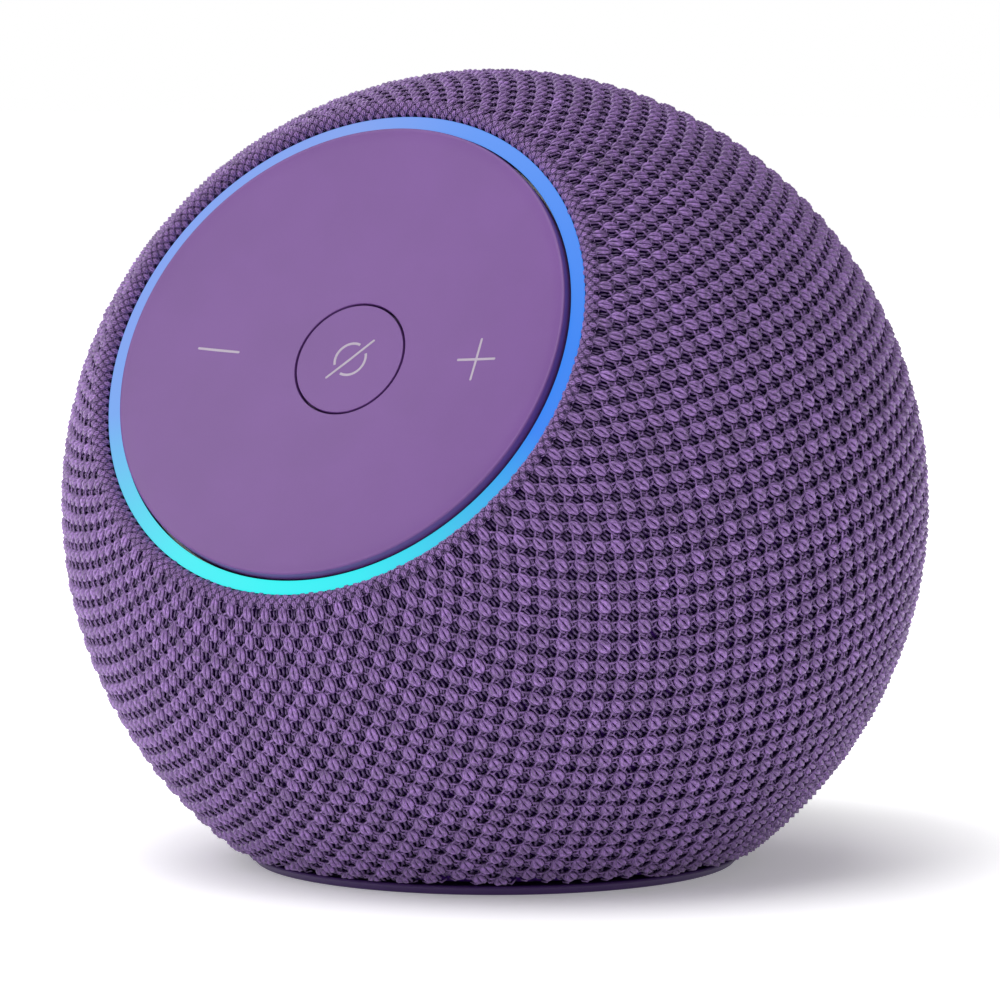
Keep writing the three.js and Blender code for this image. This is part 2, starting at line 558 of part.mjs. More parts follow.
function buildTweeter() {
  const mouth = TWEETER_DOME_RADIUS + GAP;
  const wall = 1.1;
  const back = TWEETER_REACH - TWEETER_DEPTH;
  place(tweeter, "tweeter_housing", "darkPlastic", turned([
    [0, back], [mouth + wall, back], [mouth + wall, TWEETER_REACH - 1], [TWEETER_RADIUS, TWEETER_REACH - 1],
    [TWEETER_RADIUS, TWEETER_REACH], [mouth, TWEETER_REACH], [mouth, back + 1], [0, back + 1],
  ]));
  place(tweeter, "tweeter_magnet", "magnet", disc(TWEETER_DOME_RADIUS - 1, back + 1 + GAP, TWEETER_REACH - 3.8));
  place(tweeter, "tweeter_dome", "aluminium",
    turned(domeShell(TWEETER_DOME_RADIUS, 3.2, TWEETER_REACH - 3.2, SHEET)));
  const halfWide = 18;
  const halfTall = 12.5;
  const plateTop = TWEETER_REACH - 1 - GAP;
  const hole = disc(mouth + wall + GAP, 0, FAR);
  const plate = carve(block([-halfWide, -halfTall, plateTop - 1.2], [halfWide, halfTall, plateTop]), { cut: [hole] });
  const leg = block([halfWide - 2, -27, -33], [halfWide, -BAFFLE_FRONT - GAP, -29]);
  place(ball, "tweeter_bracket", "darkPlastic", carve(inBall(plate, tweeter), {
    add: [leg, leg.clone().translate(2 - 2 * halfWide, 0, 0)],
  }));
}

// ---- Chassis, boards and ribbon ----
const MAIN_BOARD_TOP = PORT_Z + MAIN_BOARD_HEIGHT - 6.8;
const MAIN_BOARD_BACK = MAIN_BOARD_Y + BOARD_THICKNESS;
const RIB_BACK = MAIN_BOARD_Y - GAP;

function boardScrews(make) {
  return [-1, 1].map((side) => {
    const along = make().rotateX(radians(-90));
    return along.translate(side * (MAIN_BOARD_WIDTH / 2 - 3), 0, PORT_Z + 6);
  });
}

function buildChassis() {
  const plate = disc(CHASSIS_RADIUS, CHASSIS_BOTTOM, CHASSIS_TOP);
  const bosses = aroundZ(3, BASE_SCREW_CIRCLE, () => disc(2.6, SHELL_CUT, CHASSIS_BOTTOM + 0.5, 16), 90);
  const ribs = [-1, 1].map((side) => {
    const rib = block([-2.2, CHASSIS_RADIUS / 3, CHASSIS_BOTTOM], [2.2, RIB_BACK, PORT_Z + 9]);
    return rib.translate(side * (MAIN_BOARD_WIDTH / 2 - 3), 0, 0);
  });
  const baseHoles = aroundZ(3, BASE_SCREW_CIRCLE, () => screwHole(SHELL_CUT - 1, CHASSIS_TOP + 1), 90);
  const room = sphere(SHELL_INNER - GAP);
  const whole = carve(plate, {
    add: [...bosses, ...ribs],
    cut: [...baseHoles, ...boardScrews(() => screwHole(RIB_BACK - 4.5, RIB_BACK + 1))],
  });
  place(ball, "chassis", "darkPlastic", overlap(whole, room));
}

function buildMainBoard() {
  const half = MAIN_BOARD_WIDTH / 2;
  const board = block([-half, MAIN_BOARD_Y, MAIN_BOARD_TOP - MAIN_BOARD_HEIGHT], [half, MAIN_BOARD_BACK, MAIN_BOARD_TOP]);
  const holes = boardScrews(() => screwHole(MAIN_BOARD_Y - 1, MAIN_BOARD_BACK + 1));
  place(ball, "main_board", "board", carve(board, { cut: holes }));
  const screws = boardScrews(() => screw(MAIN_BOARD_BACK + GAP, RIB_BACK - 3.5));
  screws.forEach((made, i) => place(ball, "board_screw_" + (i + 1), "steel", made));
  place(ball, "shield_can", "aluminium", block([-12, MAIN_BOARD_Y - GAP - 2.2, PORT_Z + 6], [12, MAIN_BOARD_Y - GAP, PORT_Z + 22]));
  const spreaderFront = MAIN_BOARD_BACK + GAP;
  place(ball, "heat_spreader", "aluminium", block([-18, spreaderFront, PORT_Z + 8.2], [18, spreaderFront + 1.5, MAIN_BOARD_TOP]));
}

// A flat strip of this width across X, along points (y, z).
function strip(points, thickness, width) {
  const offset = (side) => points.map(([y, z], i) => {
    const [beforeY, beforeZ] = points[Math.max(i - 1, 0)];
    const [afterY, afterZ] = points[Math.min(i + 1, points.length - 1)];
    const length = Math.hypot(afterY - beforeY, afterZ - beforeZ);
    const reach = (side * thickness) / 2 / length;
    return new THREE.Vector2(y - (afterZ - beforeZ) * reach, z + (afterY - beforeY) * reach);
  });
  const outline = new THREE.Shape([...offset(1), ...offset(-1).reverse()]);
  const made = new THREE.ExtrudeGeometry(outline, { depth: width, bevelEnabled: false });
  const [x, y, z] = [new THREE.Vector3(1, 0, 0), new THREE.Vector3(0, 1, 0), new THREE.Vector3(0, 0, 1)];
  return made.translate(0, 0, -width / 2).applyMatrix4(new THREE.Matrix4().makeBasis(y, z, x));
}

function buildRibbon() {
  const start = new THREE.Vector3(0, RIBBON_OFFSET, BOARD_BOTTOM - GAP).applyMatrix4(controls.matrix);
  const below = new THREE.Vector3(0, RIBBON_OFFSET, FRAME_BOTTOM - 0.6).applyMatrix4(controls.matrix);
  const boardFace = MAIN_BOARD_Y - GAP - RIBBON_THICKNESS / 2;
  place(ball, "ribbon_cable", "film", strip([
    [start.y, start.z], [below.y, below.z], [below.y + 1.8, RIBBON_LEVEL], [boardFace - 8, RIBBON_LEVEL],
    [boardFace - 3, RIBBON_LEVEL - 2], [boardFace, RIBBON_LEVEL - 8], [boardFace, MAIN_BOARD_TOP - 5],
  ], RIBBON_THICKNESS, RIBBON_WIDTH));
}

// ---- Power socket, in a plate that the knit ends round ----
function buildPowerPort() {
  const back = MAIN_BOARD_BACK + GAP;
  const boreFloor = back + 1.2;
  const front = boreFloor + JACK_LENGTH;
  const body = PORT_RADIUS - GAP;
  place(port, "power_jack", "darkPlastic", turned([
    [0, back], [body, back], [body, front], [JACK_BORE_RADIUS, front], [JACK_BORE_RADIUS, boreFloor], [0, boreFloor],
  ]));
  place(port, "power_pin", "steel", disc(JACK_PIN_RADIUS, boreFloor + GAP, front - GAP, 12));
  const face = sphere(BALL_RADIUS - REAR_PLATE_RECESS);
  const skin = hollowBall(BALL_RADIUS - REAR_PLATE_RECESS, SHELL_OUTER + GAP, []);
  const cap = overlap(skin, inBall(disc(REAR_PLATE_RADIUS, -FAR, 0, VISIBLE_SIDES), controls));
  const sleeve = overlap(inBall(disc(PORT_RADIUS + PORT_WALL, front + GAP, FAR), port), face);
  const hole = inBall(disc(PORT_RADIUS, 0, FAR), port);
  place(ball, "port_plate", "darkPlastic", carve(cap, { add: [sleeve], cut: [hole] }));
}

// ---- Base ----
function buildBase() {
  const radius = Math.sqrt((SHELL_OUTER + GAP) ** 2 - HEM_HEIGHT ** 2) - GAP;
  const holes = aroundZ(3, BASE_SCREW_CIRCLE, () => screwHole(BASE_BOTTOM - 1, BASE_TOP + 1), 90);
  place(ball, "base_plate", "darkPlastic", carve(disc(radius, BASE_BOTTOM, BASE_TOP), { cut: holes }));
  const bevel = 0.3;
  place(ball, "foot_ring", "purplePlastic", turned([
    [FOOT_INNER_RADIUS, -CENTRE_HEIGHT], [FOOT_RADIUS - FOOT_TAPER - bevel, -CENTRE_HEIGHT],
    [FOOT_RADIUS - FOOT_TAPER, bevel - CENTRE_HEIGHT], [FOOT_RADIUS, FOOT_TOP - bevel],
    [FOOT_RADIUS - bevel, FOOT_TOP], [FOOT_INNER_RADIUS, FOOT_TOP],
  ], VISIBLE_SIDES));
  const tip = BASE_BOTTOM - GAP;
  const upward = () => screw(-tip, 1 - CHASSIS_TOP).rotateX(Math.PI);
  aroundZ(3, BASE_SCREW_CIRCLE, upward, 90).forEach((made, i) => place(ball, "base_screw_" + (i + 1), "steel", made));
}

buildKnitCover();
buildShells();
buildControlDisc();
buildMuteButton();
buildLightRing();
buildControlBoard();
buildControlFrame();
buildBaffle();
buildWooferFrame();
buildWooferMotor();
buildWooferCone();
buildTweeter();
buildChassis();
buildMainBoard();
buildRibbon();
buildPowerPort();
buildBase();

export default speaker;
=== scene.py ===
"""Visual model of a small ball-shaped smart speaker in a knitted cover.

A dished control disc is set into the ball, turned up and to the front, with a light ring round
it, a mute button in its middle and a touch mark at each side. The knitted cover is drawn out of
doubled loops, whose columns run from the light ring round the ball to a port plate at the back.
Lengths are in metres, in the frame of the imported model.
"""

import json
import logging
import math
from dataclasses import dataclass
from enum import Enum

import bpy
import numpy as np
from mathutils import Matrix, Vector

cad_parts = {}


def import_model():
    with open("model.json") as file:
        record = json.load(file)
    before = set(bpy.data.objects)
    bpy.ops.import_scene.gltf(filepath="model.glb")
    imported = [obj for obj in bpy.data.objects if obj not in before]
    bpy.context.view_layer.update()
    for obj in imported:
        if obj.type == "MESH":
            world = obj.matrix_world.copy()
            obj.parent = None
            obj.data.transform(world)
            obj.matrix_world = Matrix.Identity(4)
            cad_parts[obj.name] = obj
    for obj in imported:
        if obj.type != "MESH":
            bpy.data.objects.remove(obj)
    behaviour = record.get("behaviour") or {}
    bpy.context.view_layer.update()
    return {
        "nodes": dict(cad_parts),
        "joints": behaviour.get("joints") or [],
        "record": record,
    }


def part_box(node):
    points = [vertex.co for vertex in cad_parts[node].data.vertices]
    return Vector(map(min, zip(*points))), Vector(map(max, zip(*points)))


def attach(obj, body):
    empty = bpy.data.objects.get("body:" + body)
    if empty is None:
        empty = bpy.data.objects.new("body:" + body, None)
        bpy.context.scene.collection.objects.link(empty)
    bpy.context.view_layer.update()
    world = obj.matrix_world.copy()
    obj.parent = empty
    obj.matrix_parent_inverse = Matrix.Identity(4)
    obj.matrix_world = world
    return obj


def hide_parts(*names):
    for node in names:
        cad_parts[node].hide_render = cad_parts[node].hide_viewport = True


LOG = logging.getLogger("speaker")

MM = 0.001
ROUND_SEGMENTS = 192
SMALL_SEGMENTS = 64
MERGE_GAP = 0.002 * MM
SMOOTH_ANGLE = math.radians(35)
CLOUD_SIZE = 9 * MM
GRAIN_DETAIL = 2.0
DISC_DISH = 3.2 * MM


class Body(Enum):
    """The bodies of the frame that new pieces ride on."""

    SPEAKER = "speaker"
    BUTTON = "mute_button_body"


def frame_points(node: str) -> np.ndarray:
    """Return the vertices of a node of the frame.

    Args:
        node: the node's name.

    Returns:
        An array of points, one a row.
    """
    mesh = bpy.data.objects[node].data
    points = np.empty(len(mesh.vertices) * 3)
    mesh.vertices.foreach_get("co", points)
    return points.reshape(-1, 3)


@dataclass(frozen=True)
class TurningAxis:
    """A line that turned pieces are round about, with a direction across it to start from."""

    origin: Vector
    along: Vector
    across: Vector

    @property
    def up(self) -> Vector:
        """Return the direction square to both the axis and its across direction."""
        return self.along.cross(self.across)

    def at(self, radius: float, height: float) -> Vector:
        """Return the point that far out and that high, on the across side.

        Args:
            radius: distance from the axis.
            height: distance along the axis from its origin.

        Returns:
            The point.
        """
        return self.origin + self.across * radius + self.along * height

    def span(self, node: str) -> tuple[float, float]:
        """Return how low and how high a node of the frame lies along the axis.

        Args:
            node: the node's name.

        Returns:
            The lowest and the highest height.
        """
        heights = (frame_points(node) - np.array(self.origin)) @ np.array(self.along)
        return float(heights.min()), float(heights.max())

    def reach(self, node: str) -> tuple[float, float]:
        """Return the inner and outer radius of a node of the frame about the axis.

        Args:
            node: the node's name.

        Returns:
            The least and the greatest distance of its vertices from the axis.
        """
        arms = frame_points(node) - np.array(self.origin)
        heights = arms @ np.array(self.along)
        distances = np.linalg.norm(arms - np.outer(heights, np.array(self.along)), axis=1)
        return float(distances.min()), float(distances.max())


class Bench:
    """The steps of modelling by hand that every new piece is shaped with."""

    @staticmethod
    def deselect() -> None:
        """Leave edit mode and select nothing."""
        if bpy.context.object and bpy.context.object.mode != "OBJECT":
            bpy.ops.object.mode_set(mode="OBJECT")
        bpy.ops.object.select_all(action="DESELECT")

    @staticmethod
    def take(piece: bpy.types.Object) -> None:
        """Select one piece and make it the active one.

        Args:
            piece: the piece to work on.
        """
        Bench.deselect()
        piece.select_set(True)
        bpy.context.view_layer.objects.active = piece

    @staticmethod
    def name_active(name: str) -> bpy.types.Object:
        """Name the piece that was just added, and its mesh.

        Args:
            name: the new name.

        Returns:
            The piece.
        """
        piece = bpy.context.object
        piece.name = name
        piece.data.name = name
        return piece

    @staticmethod
    def outline(name: str, points: list[Vector]) -> bpy.types.Object:
        """Draw a line through points by extruding one vertex, and stay in edit mode.

        Args:
            name: the new piece's name.
            points: the points in order; the last repeats the first on a closed line.

        Returns:
            The piece, a line without faces.
        """
        Bench.deselect()
        bpy.ops.mesh.primitive_plane_add(size=1)
        piece = Bench.name_active(name)
        bpy.ops.object.mode_set(mode="EDIT")
        bpy.ops.mesh.select_all(action="SELECT")
        bpy.ops.mesh.merge(type="CENTER")
        bpy.ops.transform.translate(value=points[0])
        for here, there in zip(points, points[1:]):
            bpy.ops.mesh.extrude_region_move(TRANSFORM_OT_translate={"value": there - here})
        return piece

    @staticmethod
    def turn(name: str, axis: TurningAxis, profile: list[tuple[float, float]],
             segments: int = ROUND_SEGMENTS) -> bpy.types.Object:
        """Turn a profile about an axis into a closed, smooth-shaded piece.

        Args:
            name: the new piece's name.
            axis: the axis it is round about.
            profile: radius and height of each point, in order.
            segments: steps round the axis.

        Returns:
            The turned piece.
        """
        piece = Bench.outline(name, [axis.at(radius, height) for radius, height in profile])
        bpy.ops.mesh.select_all(action="SELECT")
        bpy.ops.mesh.spin(steps=segments, angle=math.tau, center=axis.origin, axis=axis.along)
        Bench.close_up()
        Bench.smooth(piece)
        return piece

    @staticmethod
    def close_up() -> None:
        """Merge doubled vertices, turn every face outward and leave edit mode."""
        bpy.ops.mesh.select_all(action="SELECT")
        bpy.ops.mesh.remove_doubles(threshold=MERGE_GAP)
        bpy.ops.mesh.select_all(action="SELECT")
        bpy.ops.mesh.normals_make_consistent(inside=False)
        bpy.ops.object.mode_set(mode="OBJECT")

    @staticmethod
    def smooth(piece: bpy.types.Object) -> None:
        """Shade a piece smooth, keeping its sharp edges.

        Args:
            piece: the piece to shade.
        """
        Bench.take(piece)
        bpy.ops.object.shade_smooth_by_angle(angle=SMOOTH_ANGLE)

    @staticmethod
    def modify(piece: bpy.types.Object, kind: str, **settings: object) -> None:
        """Add a modifier to a piece and apply it.

        Args:
            piece: the piece to change.
            kind: the modifier's type.
            settings: the modifier's settings by name.
        """
        Bench.take(piece)
        modifier = piece.modifiers.new(kind.title(), kind)
        for setting, value in settings.items():
            setattr(modifier, setting, value)
        bpy.ops.object.modifier_apply(modifier=modifier.name)

    @staticmethod
    def join(pieces: list[bpy.types.Object], name: str) -> bpy.types.Object:
        """Join several pieces into one.

        Args:
            pieces: the pieces to join.
            name: the joined piece's name.

        Returns:
            The joined piece.
        """
        Bench.take(pieces[0])
        for piece in pieces[1:]:
            piece.select_set(True)
        bpy.ops.object.join()
        return Bench.name_active(name)

    @staticmethod
    def fit(piece: bpy.types.Object, body: Body, slot: str, finish: "Finish",
            *replaced: str) -> bpy.types.Object:
        """Hang a finished piece on its body in the frame, in its finish.

        Args:
            piece: the finished piece.
            body: the body it moves with.
            slot: the record's slot for its finish; not used.
            finish: the finish it gets.
            replaced: names of the nodes it stands for.

        Returns:
            The piece.
        """
        piece.data.materials.clear()
        piece.data.materials.append(finish.material())
        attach(piece, body.value)
        if replaced:
            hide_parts(*replaced)
        LOG.info("%s: %d faces", piece.name, len(piece.data.polygons))
        return piece


def paint(red: int, green: int, blue: int) -> tuple[float, float, float, float]:
    """Return a paint colour as the linear light that the shaders take.

    Args:
        red: the red of the paint, 0 to 255.
        green: its green.
        blue: its blue.

    Returns:
        The linear colour with full cover.
    """
    shares = (value / 255 for value in (red, green, blue))
    linear = [s / 12.92 if s <= 0.04045 else ((s + 0.055) / 1.055) ** 2.4 for s in shares]
    return (*linear, 1.0)


class Recipe:
    """The nodes of one material, built up from its shader."""

    def __init__(self, name: str) -> None:
        """Start a material that has only its shader.

        Args:
            name: the material's name.
        """
        self.material = bpy.data.materials.new(name)
        self.material.use_nodes = True
        self.shader = self.material.node_tree.nodes["Principled BSDF"]

    def add(self, kind: str, **settings: object) -> bpy.types.Node:
        """Add a node.

        Args:
            kind: the node's type, without its usual start.
            settings: the node's settings by name.

        Returns:
            The node.
        """
        node = self.material.node_tree.nodes.new("ShaderNode" + kind)
        for setting, value in settings.items():
            setattr(node, setting, value)
        return node

    def link(self, source: bpy.types.NodeSocket, target: bpy.types.NodeSocket) -> None:
        """Join an output to an input."""
        self.material.node_tree.links.new(source, target)

    def fix(self, **values: object) -> None:
        """Set inputs of the shader that are the same all over.

        Args:
            values: the inputs' values; an underscore in a name stands for a space.
        """
        for name, value in values.items():
            self.shader.inputs[name.replace("_", " ")].default_value = value

    def place(self, stretch: tuple[float, float, float] = (1, 1, 1)) -> bpy.types.NodeSocket:
        """Return the piece's own coordinates, stretched.

        Args:
            stretch: how many times finer the pattern is along each direction.

        Returns:
            The coordinates' socket.
        """
        own = self.add("TexCoord")
        mapping = self.add("Mapping")
        mapping.inputs["Scale"].default_value = stretch
        self.link(own.outputs["Object"], mapping.inputs["Vector"])
        return mapping.outputs["Vector"]

    def noise(self, where: bpy.types.NodeSocket, size: float,
              detail: float = 3.0) -> bpy.types.NodeSocket:
        """Return a cloudy pattern.

        Args:
            where: the coordinates it lies on.
            size: the size of its clouds.
            detail: how much finer cloud it has.

        Returns:
            The pattern's socket, 0 to 1.
        """
        cloud = self.add("TexNoise")
        cloud.inputs["Scale"].default_value = 1 / size
        cloud.inputs["Detail"].default_value = detail
        self.link(where, cloud.inputs["Vector"])
        return cloud.outputs["Fac"]

    def spread(self, pattern: bpy.types.NodeSocket, low: float,
               high: float) -> bpy.types.NodeSocket:
        """Return a pattern with its middle range stretched between two values.

        Args:
            pattern: the pattern, 0 to 1.
            low: the value of its darker part.
            high: the value of its lighter part.

        Returns:
            The new value's socket.
        """
        return self.remap(pattern, (0.3, 0.7), (low, high))

    def remap(self, value: bpy.types.NodeSocket, before: tuple[float, float],
              after: tuple[float, float], **settings: object) -> bpy.types.NodeSocket:
        """Return a value carried from one range to another.

        Args:
            value: the value's socket.
            before: the ends of its range.
            after: what those ends become.
            settings: the node's settings by name.

        Returns:
            The new value's socket.
        """
        span = self.add("MapRange", **settings)
        for side, ends in (("From", before), ("To", after)):
            span.inputs[f"{side} Min"].default_value = ends[0]
            span.inputs[f"{side} Max"].default_value = ends[1]
        self.link(value, span.inputs["Value"])
        return span.outputs["Result"]

    def ramp(self, share: bpy.types.NodeSocket,
             stops: list[tuple[float, tuple]]) -> bpy.types.NodeSocket:
        """Return a colour that runs through stops.

        Args:
            share: where along the stops, 0 to 1.
            stops: the place and colour of each stop.

        Returns:
            The colour's socket.
        """
        ramp = self.add("ValToRGB")
        elements = ramp.color_ramp.elements
        while len(elements) < len(stops):
            elements.new(0.5)
        for element, (place, colour) in zip(elements, stops):
            element.position = place
            element.color = colour
        self.link(share, ramp.inputs["Fac"])
        return ramp.outputs["Color"]

    def relief(self, *layers: tuple[bpy.types.NodeSocket, float]) -> None:
        """Raise the surface by patterns, one on the other.

        Args:
            layers: each pattern and its depth.
        """
        before = None
        for pattern, depth in layers:
            bump = self.add("Bump")
            bump.inputs["Distance"].default_value = depth
            self.link(pattern, bump.inputs["Height"])
            if before:
                self.link(before, bump.inputs["Normal"])
            before = bump.outputs["Normal"]
        self.link(before, self.shader.inputs["Normal"])


@dataclass(frozen=True)
class Finish:
    """A surface with a grain: a colour that varies a little, a gloss that varies and a relief."""

    name: str
    colour: tuple[float, float, float, float]
    roughness: float
    shade: float = 0.08
    grain: float = 0.25 * MM
    depth: float = 0.01 * MM
    stretch: tuple[float, float, float] = (1, 1, 1)
    metallic: float = 0.0
    specular: float = 0.5
    sheen: float = 0.0

    def material(self) -> bpy.types.Material:
        """Return the material, made the first time that it is asked for."""
        known = bpy.data.materials.get(self.name)
        if known:
            return known
        recipe = Recipe(self.name)
        recipe.fix(Metallic=self.metallic, Specular_IOR_Level=self.specular, Sheen_Weight=self.sheen)
        self.mix(recipe)
        return recipe.material

    def tint(self, share: float) -> tuple[float, float, float, float]:
        """Return the colour made lighter, or darker below 1."""
        return (*(min(1.0, part * share) for part in self.colour[:3]), 1.0)

    def glossed(self, recipe: Recipe, pattern: bpy.types.NodeSocket, swing: float = 0.05) -> None:
        """Let a pattern vary the roughness.

        Args:
            recipe: the material to lay the nodes in.
            pattern: the pattern, 0 to 1.
            swing: how far the roughness goes to each side.
        """
        gloss = recipe.spread(pattern, self.roughness - swing, self.roughness + swing)
        recipe.link(gloss, recipe.shader.inputs["Roughness"])

    def mix(self, recipe: Recipe) -> None:
        """Lay the nodes of the surface.

        Args:
            recipe: the material to lay them in.
        """
        where = recipe.place(self.stretch)
        clouds = recipe.noise(where, CLOUD_SIZE)
        stops = [(0.35, self.tint(1 - self.shade)), (0.65, self.tint(1 + self.shade))]
        recipe.link(recipe.ramp(clouds, stops), recipe.shader.inputs["Base Color"])
        grain = recipe.noise(where, self.grain, GRAIN_DETAIL)
        self.glossed(recipe, grain, 0.06)
        recipe.relief((grain, self.depth))


@dataclass(frozen=True)
class Printed(Finish):
    """A board or film with traces in a second colour."""

    trace: tuple[float, float, float, float] = (0.4, 0.3, 0.1, 1.0)
    pitch: float = 1.6 * MM

    def mix(self, recipe: Recipe) -> None:
        """Lay the traces as thin crossing lines over the board.

        Args:
            recipe: the material to lay them in.
        """
        where = recipe.place(self.stretch)
        cells = recipe.add("TexVoronoi", feature="DISTANCE_TO_EDGE", distance="MANHATTAN")
        cells.inputs["Scale"].default_value = 1 / self.pitch
        recipe.link(where, cells.inputs["Vector"])
        edge = cells.outputs["Distance"]
        stops = [(0.05, self.trace), (0.08, self.colour)]
        recipe.link(recipe.ramp(edge, stops), recipe.shader.inputs["Base Color"])
        grain = recipe.noise(where, self.grain, GRAIN_DETAIL)
        self.glossed(recipe, grain)
        recipe.relief((edge, self.depth), (grain, self.depth / 4))


@dataclass(frozen=True)
class Woven(Finish):
    """A cloth, a pressed paper or a winding: bands across each other over the grain."""

    pitch: float = 0.5 * MM
    crossed: bool = True

    def mix(self, recipe: Recipe) -> None:
        """Lay the bands, and shade their hollows.

        Args:
            recipe: the material to lay them in.
        """
        where = recipe.place(self.stretch)
        bands = []
        for direction in ("X", "Z") if self.crossed else ("Z",):
            wave = recipe.add("TexWave", bands_direction=direction)
            wave.inputs["Scale"].default_value = 1 / self.pitch / math.pi
            wave.inputs["Distortion"].default_value = 0.6
            recipe.link(where, wave.inputs["Vector"])
            bands.append(wave.outputs["Fac"])
        stops = [(0.1, self.tint(0.55)), (0.8, self.tint(1 + self.shade))]
        recipe.link(recipe.ramp(bands[0], stops), recipe.shader.inputs["Base Color"])
        grain = recipe.noise(where, self.grain, GRAIN_DETAIL)
        self.glossed(recipe, grain)
        recipe.relief(*((band, self.depth) for band in bands), (grain, self.depth / 3))


@dataclass(frozen=True)
class Yarn(Finish):
    """Plied yarn: filaments along the strand, with painted shade that darkens it where it dives below
    its crown.
    """

    # painted shade: the dark purple that the yarn is blended to where it dives below its crown
    deep: tuple[float, float, float, float] = (0.01, 0.0, 0.02, 1.0)
    filaments: float = 10.0
    twist: float = 2.2

    def mix(self, recipe: Recipe) -> None:
        """Lay the filaments along the strand and the painted shade by its depth.

        Args:
            recipe: the material to lay them in.
        """
        lay = recipe.add("Attribute", attribute_name="lay").outputs["Vector"]
        strand = recipe.add("Mapping")
        strand.inputs["Scale"].default_value = (self.filaments, self.twist, 1.0)
        recipe.link(lay, strand.inputs["Vector"])
        filaments = recipe.noise(strand.outputs["Vector"], 1.0, GRAIN_DETAIL)
        sunk_shade = recipe.add("Attribute", attribute_name="sunk_shade").outputs["Fac"]
        tone = recipe.add("Attribute", attribute_name="tone").outputs["Fac"]
        # the filament streaks are partly the yarn's grain and partly painted glints, lightened up to
        # 1.6 times the colour
        lit = recipe.ramp(filaments, [(0.34, self.tint(0.5)), (0.66, self.tint(1.6))])
        toned = recipe.add("HueSaturation")
        recipe.link(lit, toned.inputs["Color"])
        recipe.link(tone, toned.inputs["Value"])
        # painted shade: the colour is blended towards the dark purple by how deep the point lies below
        # the stitch's crown
        blend = recipe.add("Mix", data_type="RGBA")
        blend.inputs["B"].default_value = self.deep
        recipe.link(sunk_shade, blend.inputs["Factor"])
        recipe.link(toned.outputs["Color"], blend.inputs["A"])
        recipe.link(blend.outputs["Result"], recipe.shader.inputs["Base Color"])
        self.glossed(recipe, filaments, 0.1)
        recipe.relief((filaments, self.depth))


@dataclass(frozen=True)
class Glow(Finish):
    """A lit diffuser whose colour runs round an axis."""

    across: tuple[float, float, float] = (1, 0, 0)
    up: tuple[float, float, float] = (0, 0, 1)
    centre: tuple[float, float, float] = (0, 0, 0)
    hues: tuple[tuple[float, tuple], ...] = ()
    power: float = 1.0

    def mix(self, recipe: Recipe) -> None:
        """Lay the colours round the axis, from its lowest point and back to it.

        Args:
            recipe: the material to lay them in.
        """
        own = recipe.place()
        arm = recipe.add("VectorMath", operation="SUBTRACT")
        arm.inputs[1].default_value = self.centre
        recipe.link(own, arm.inputs[0])
        parts = []
        for direction in (self.across, self.up):
            part = recipe.add("VectorMath", operation="DOT_PRODUCT")
            part.inputs[1].default_value = direction
            recipe.link(arm.outputs["Vector"], part.inputs[0])
            parts.append(part.outputs["Value"])
        turn = recipe.add("Math", operation="ARCTAN2")
        recipe.link(parts[0], turn.inputs[0])
        recipe.link(parts[1], turn.inputs[1])
        share = recipe.remap(turn.outputs["Value"], (-math.pi, math.pi), (0.0, 1.0))
        colour = recipe.ramp(share, list(self.hues))
        recipe.link(colour, recipe.shader.inputs["Emission Color"])
        recipe.fix(Base_Color=self.colour, Emission_Strength=self.power)
        grain = recipe.noise(own, self.grain, GRAIN_DETAIL)
        self.glossed(recipe, grain)
        recipe.relief((grain, self.depth))


PURPLE = Finish("purple_satin_plastic", paint(101, 61, 127), 0.5, 0.03, 0.12 * MM, 0.004 * MM)
FOOT_PURPLE = Finish("purple_foot_plastic", paint(66, 36, 98), 0.42, 0.04, 0.2 * MM, 0.006 * MM,
                     specular=0.3)
TOUCH_MARK = Finish("pale_touch_mark_ink", paint(158, 146, 163), 0.5, 0.03, 0.1 * MM, 0.004 * MM)
# painted shade for the light ring's side walls and the gap beside the disc
RING_WALL_SHADE = Finish("dark_blue_painted_wall_shade", paint(18, 16, 70), 0.6, 0.05, 0.2 * MM, 0.004 * MM)
# the last colour is the painted shade that the yarn is darkened to where it dives
KNIT_YARN = Yarn("purple_cover_yarn", paint(124, 91, 150), 0.48, specular=0.6, sheen=0.05,
                 depth=0.03 * MM, deep=paint(36, 5, 66))
# painted shade: the ground cloth is far darker than the yarn so that the gaps between the loops read as
# shade
KNIT_GAP_SHADE = Woven("ground_cloth_painted_gap_shade", paint(50, 8, 92), 0.9, 0.1, 0.2 * MM, 0.08 * MM,
                    specular=0.1, pitch=0.9 * MM)
DARK_PLASTIC = Finish("dark_violet_plastic", paint(44, 34, 58), 0.55, 0.06, 0.3 * MM, 0.012 * MM)


class Dish:
    """The hollow that the control disc and its button share."""

    def __init__(self, axis: TurningAxis, depth: float) -> None:
        """Measure the hollow on the frame.

        Args:
            axis: the disc's axis.
            depth: how deep the hollow is below the disc's rim.
        """
        self.radius = axis.reach("control_disc")[1]
        self.rim = axis.span("control_disc")[1]
        self.depth = depth

    def height(self, radius: float) -> float:
        """Return the hollow's height along the axis at a radius."""
        return self.rim - self.depth * (1 - (radius / self.radius) ** 2)

    def line(self, start: float, end: float, below: float = 0.0,
             steps: int = 16) -> list[tuple[float, float]]:
        """Return points along the hollow.

        Args:
            start: the radius of the first point.
            end: the radius of the last.
            below: how far under the surface the points lie.
            steps: how many steps there are between them.

        Returns:
            The radius and height of each point.
        """
        radii = [start + (end - start) * step / steps for step in range(steps + 1)]
        return [(radius, self.height(radius) - below) for radius in radii]


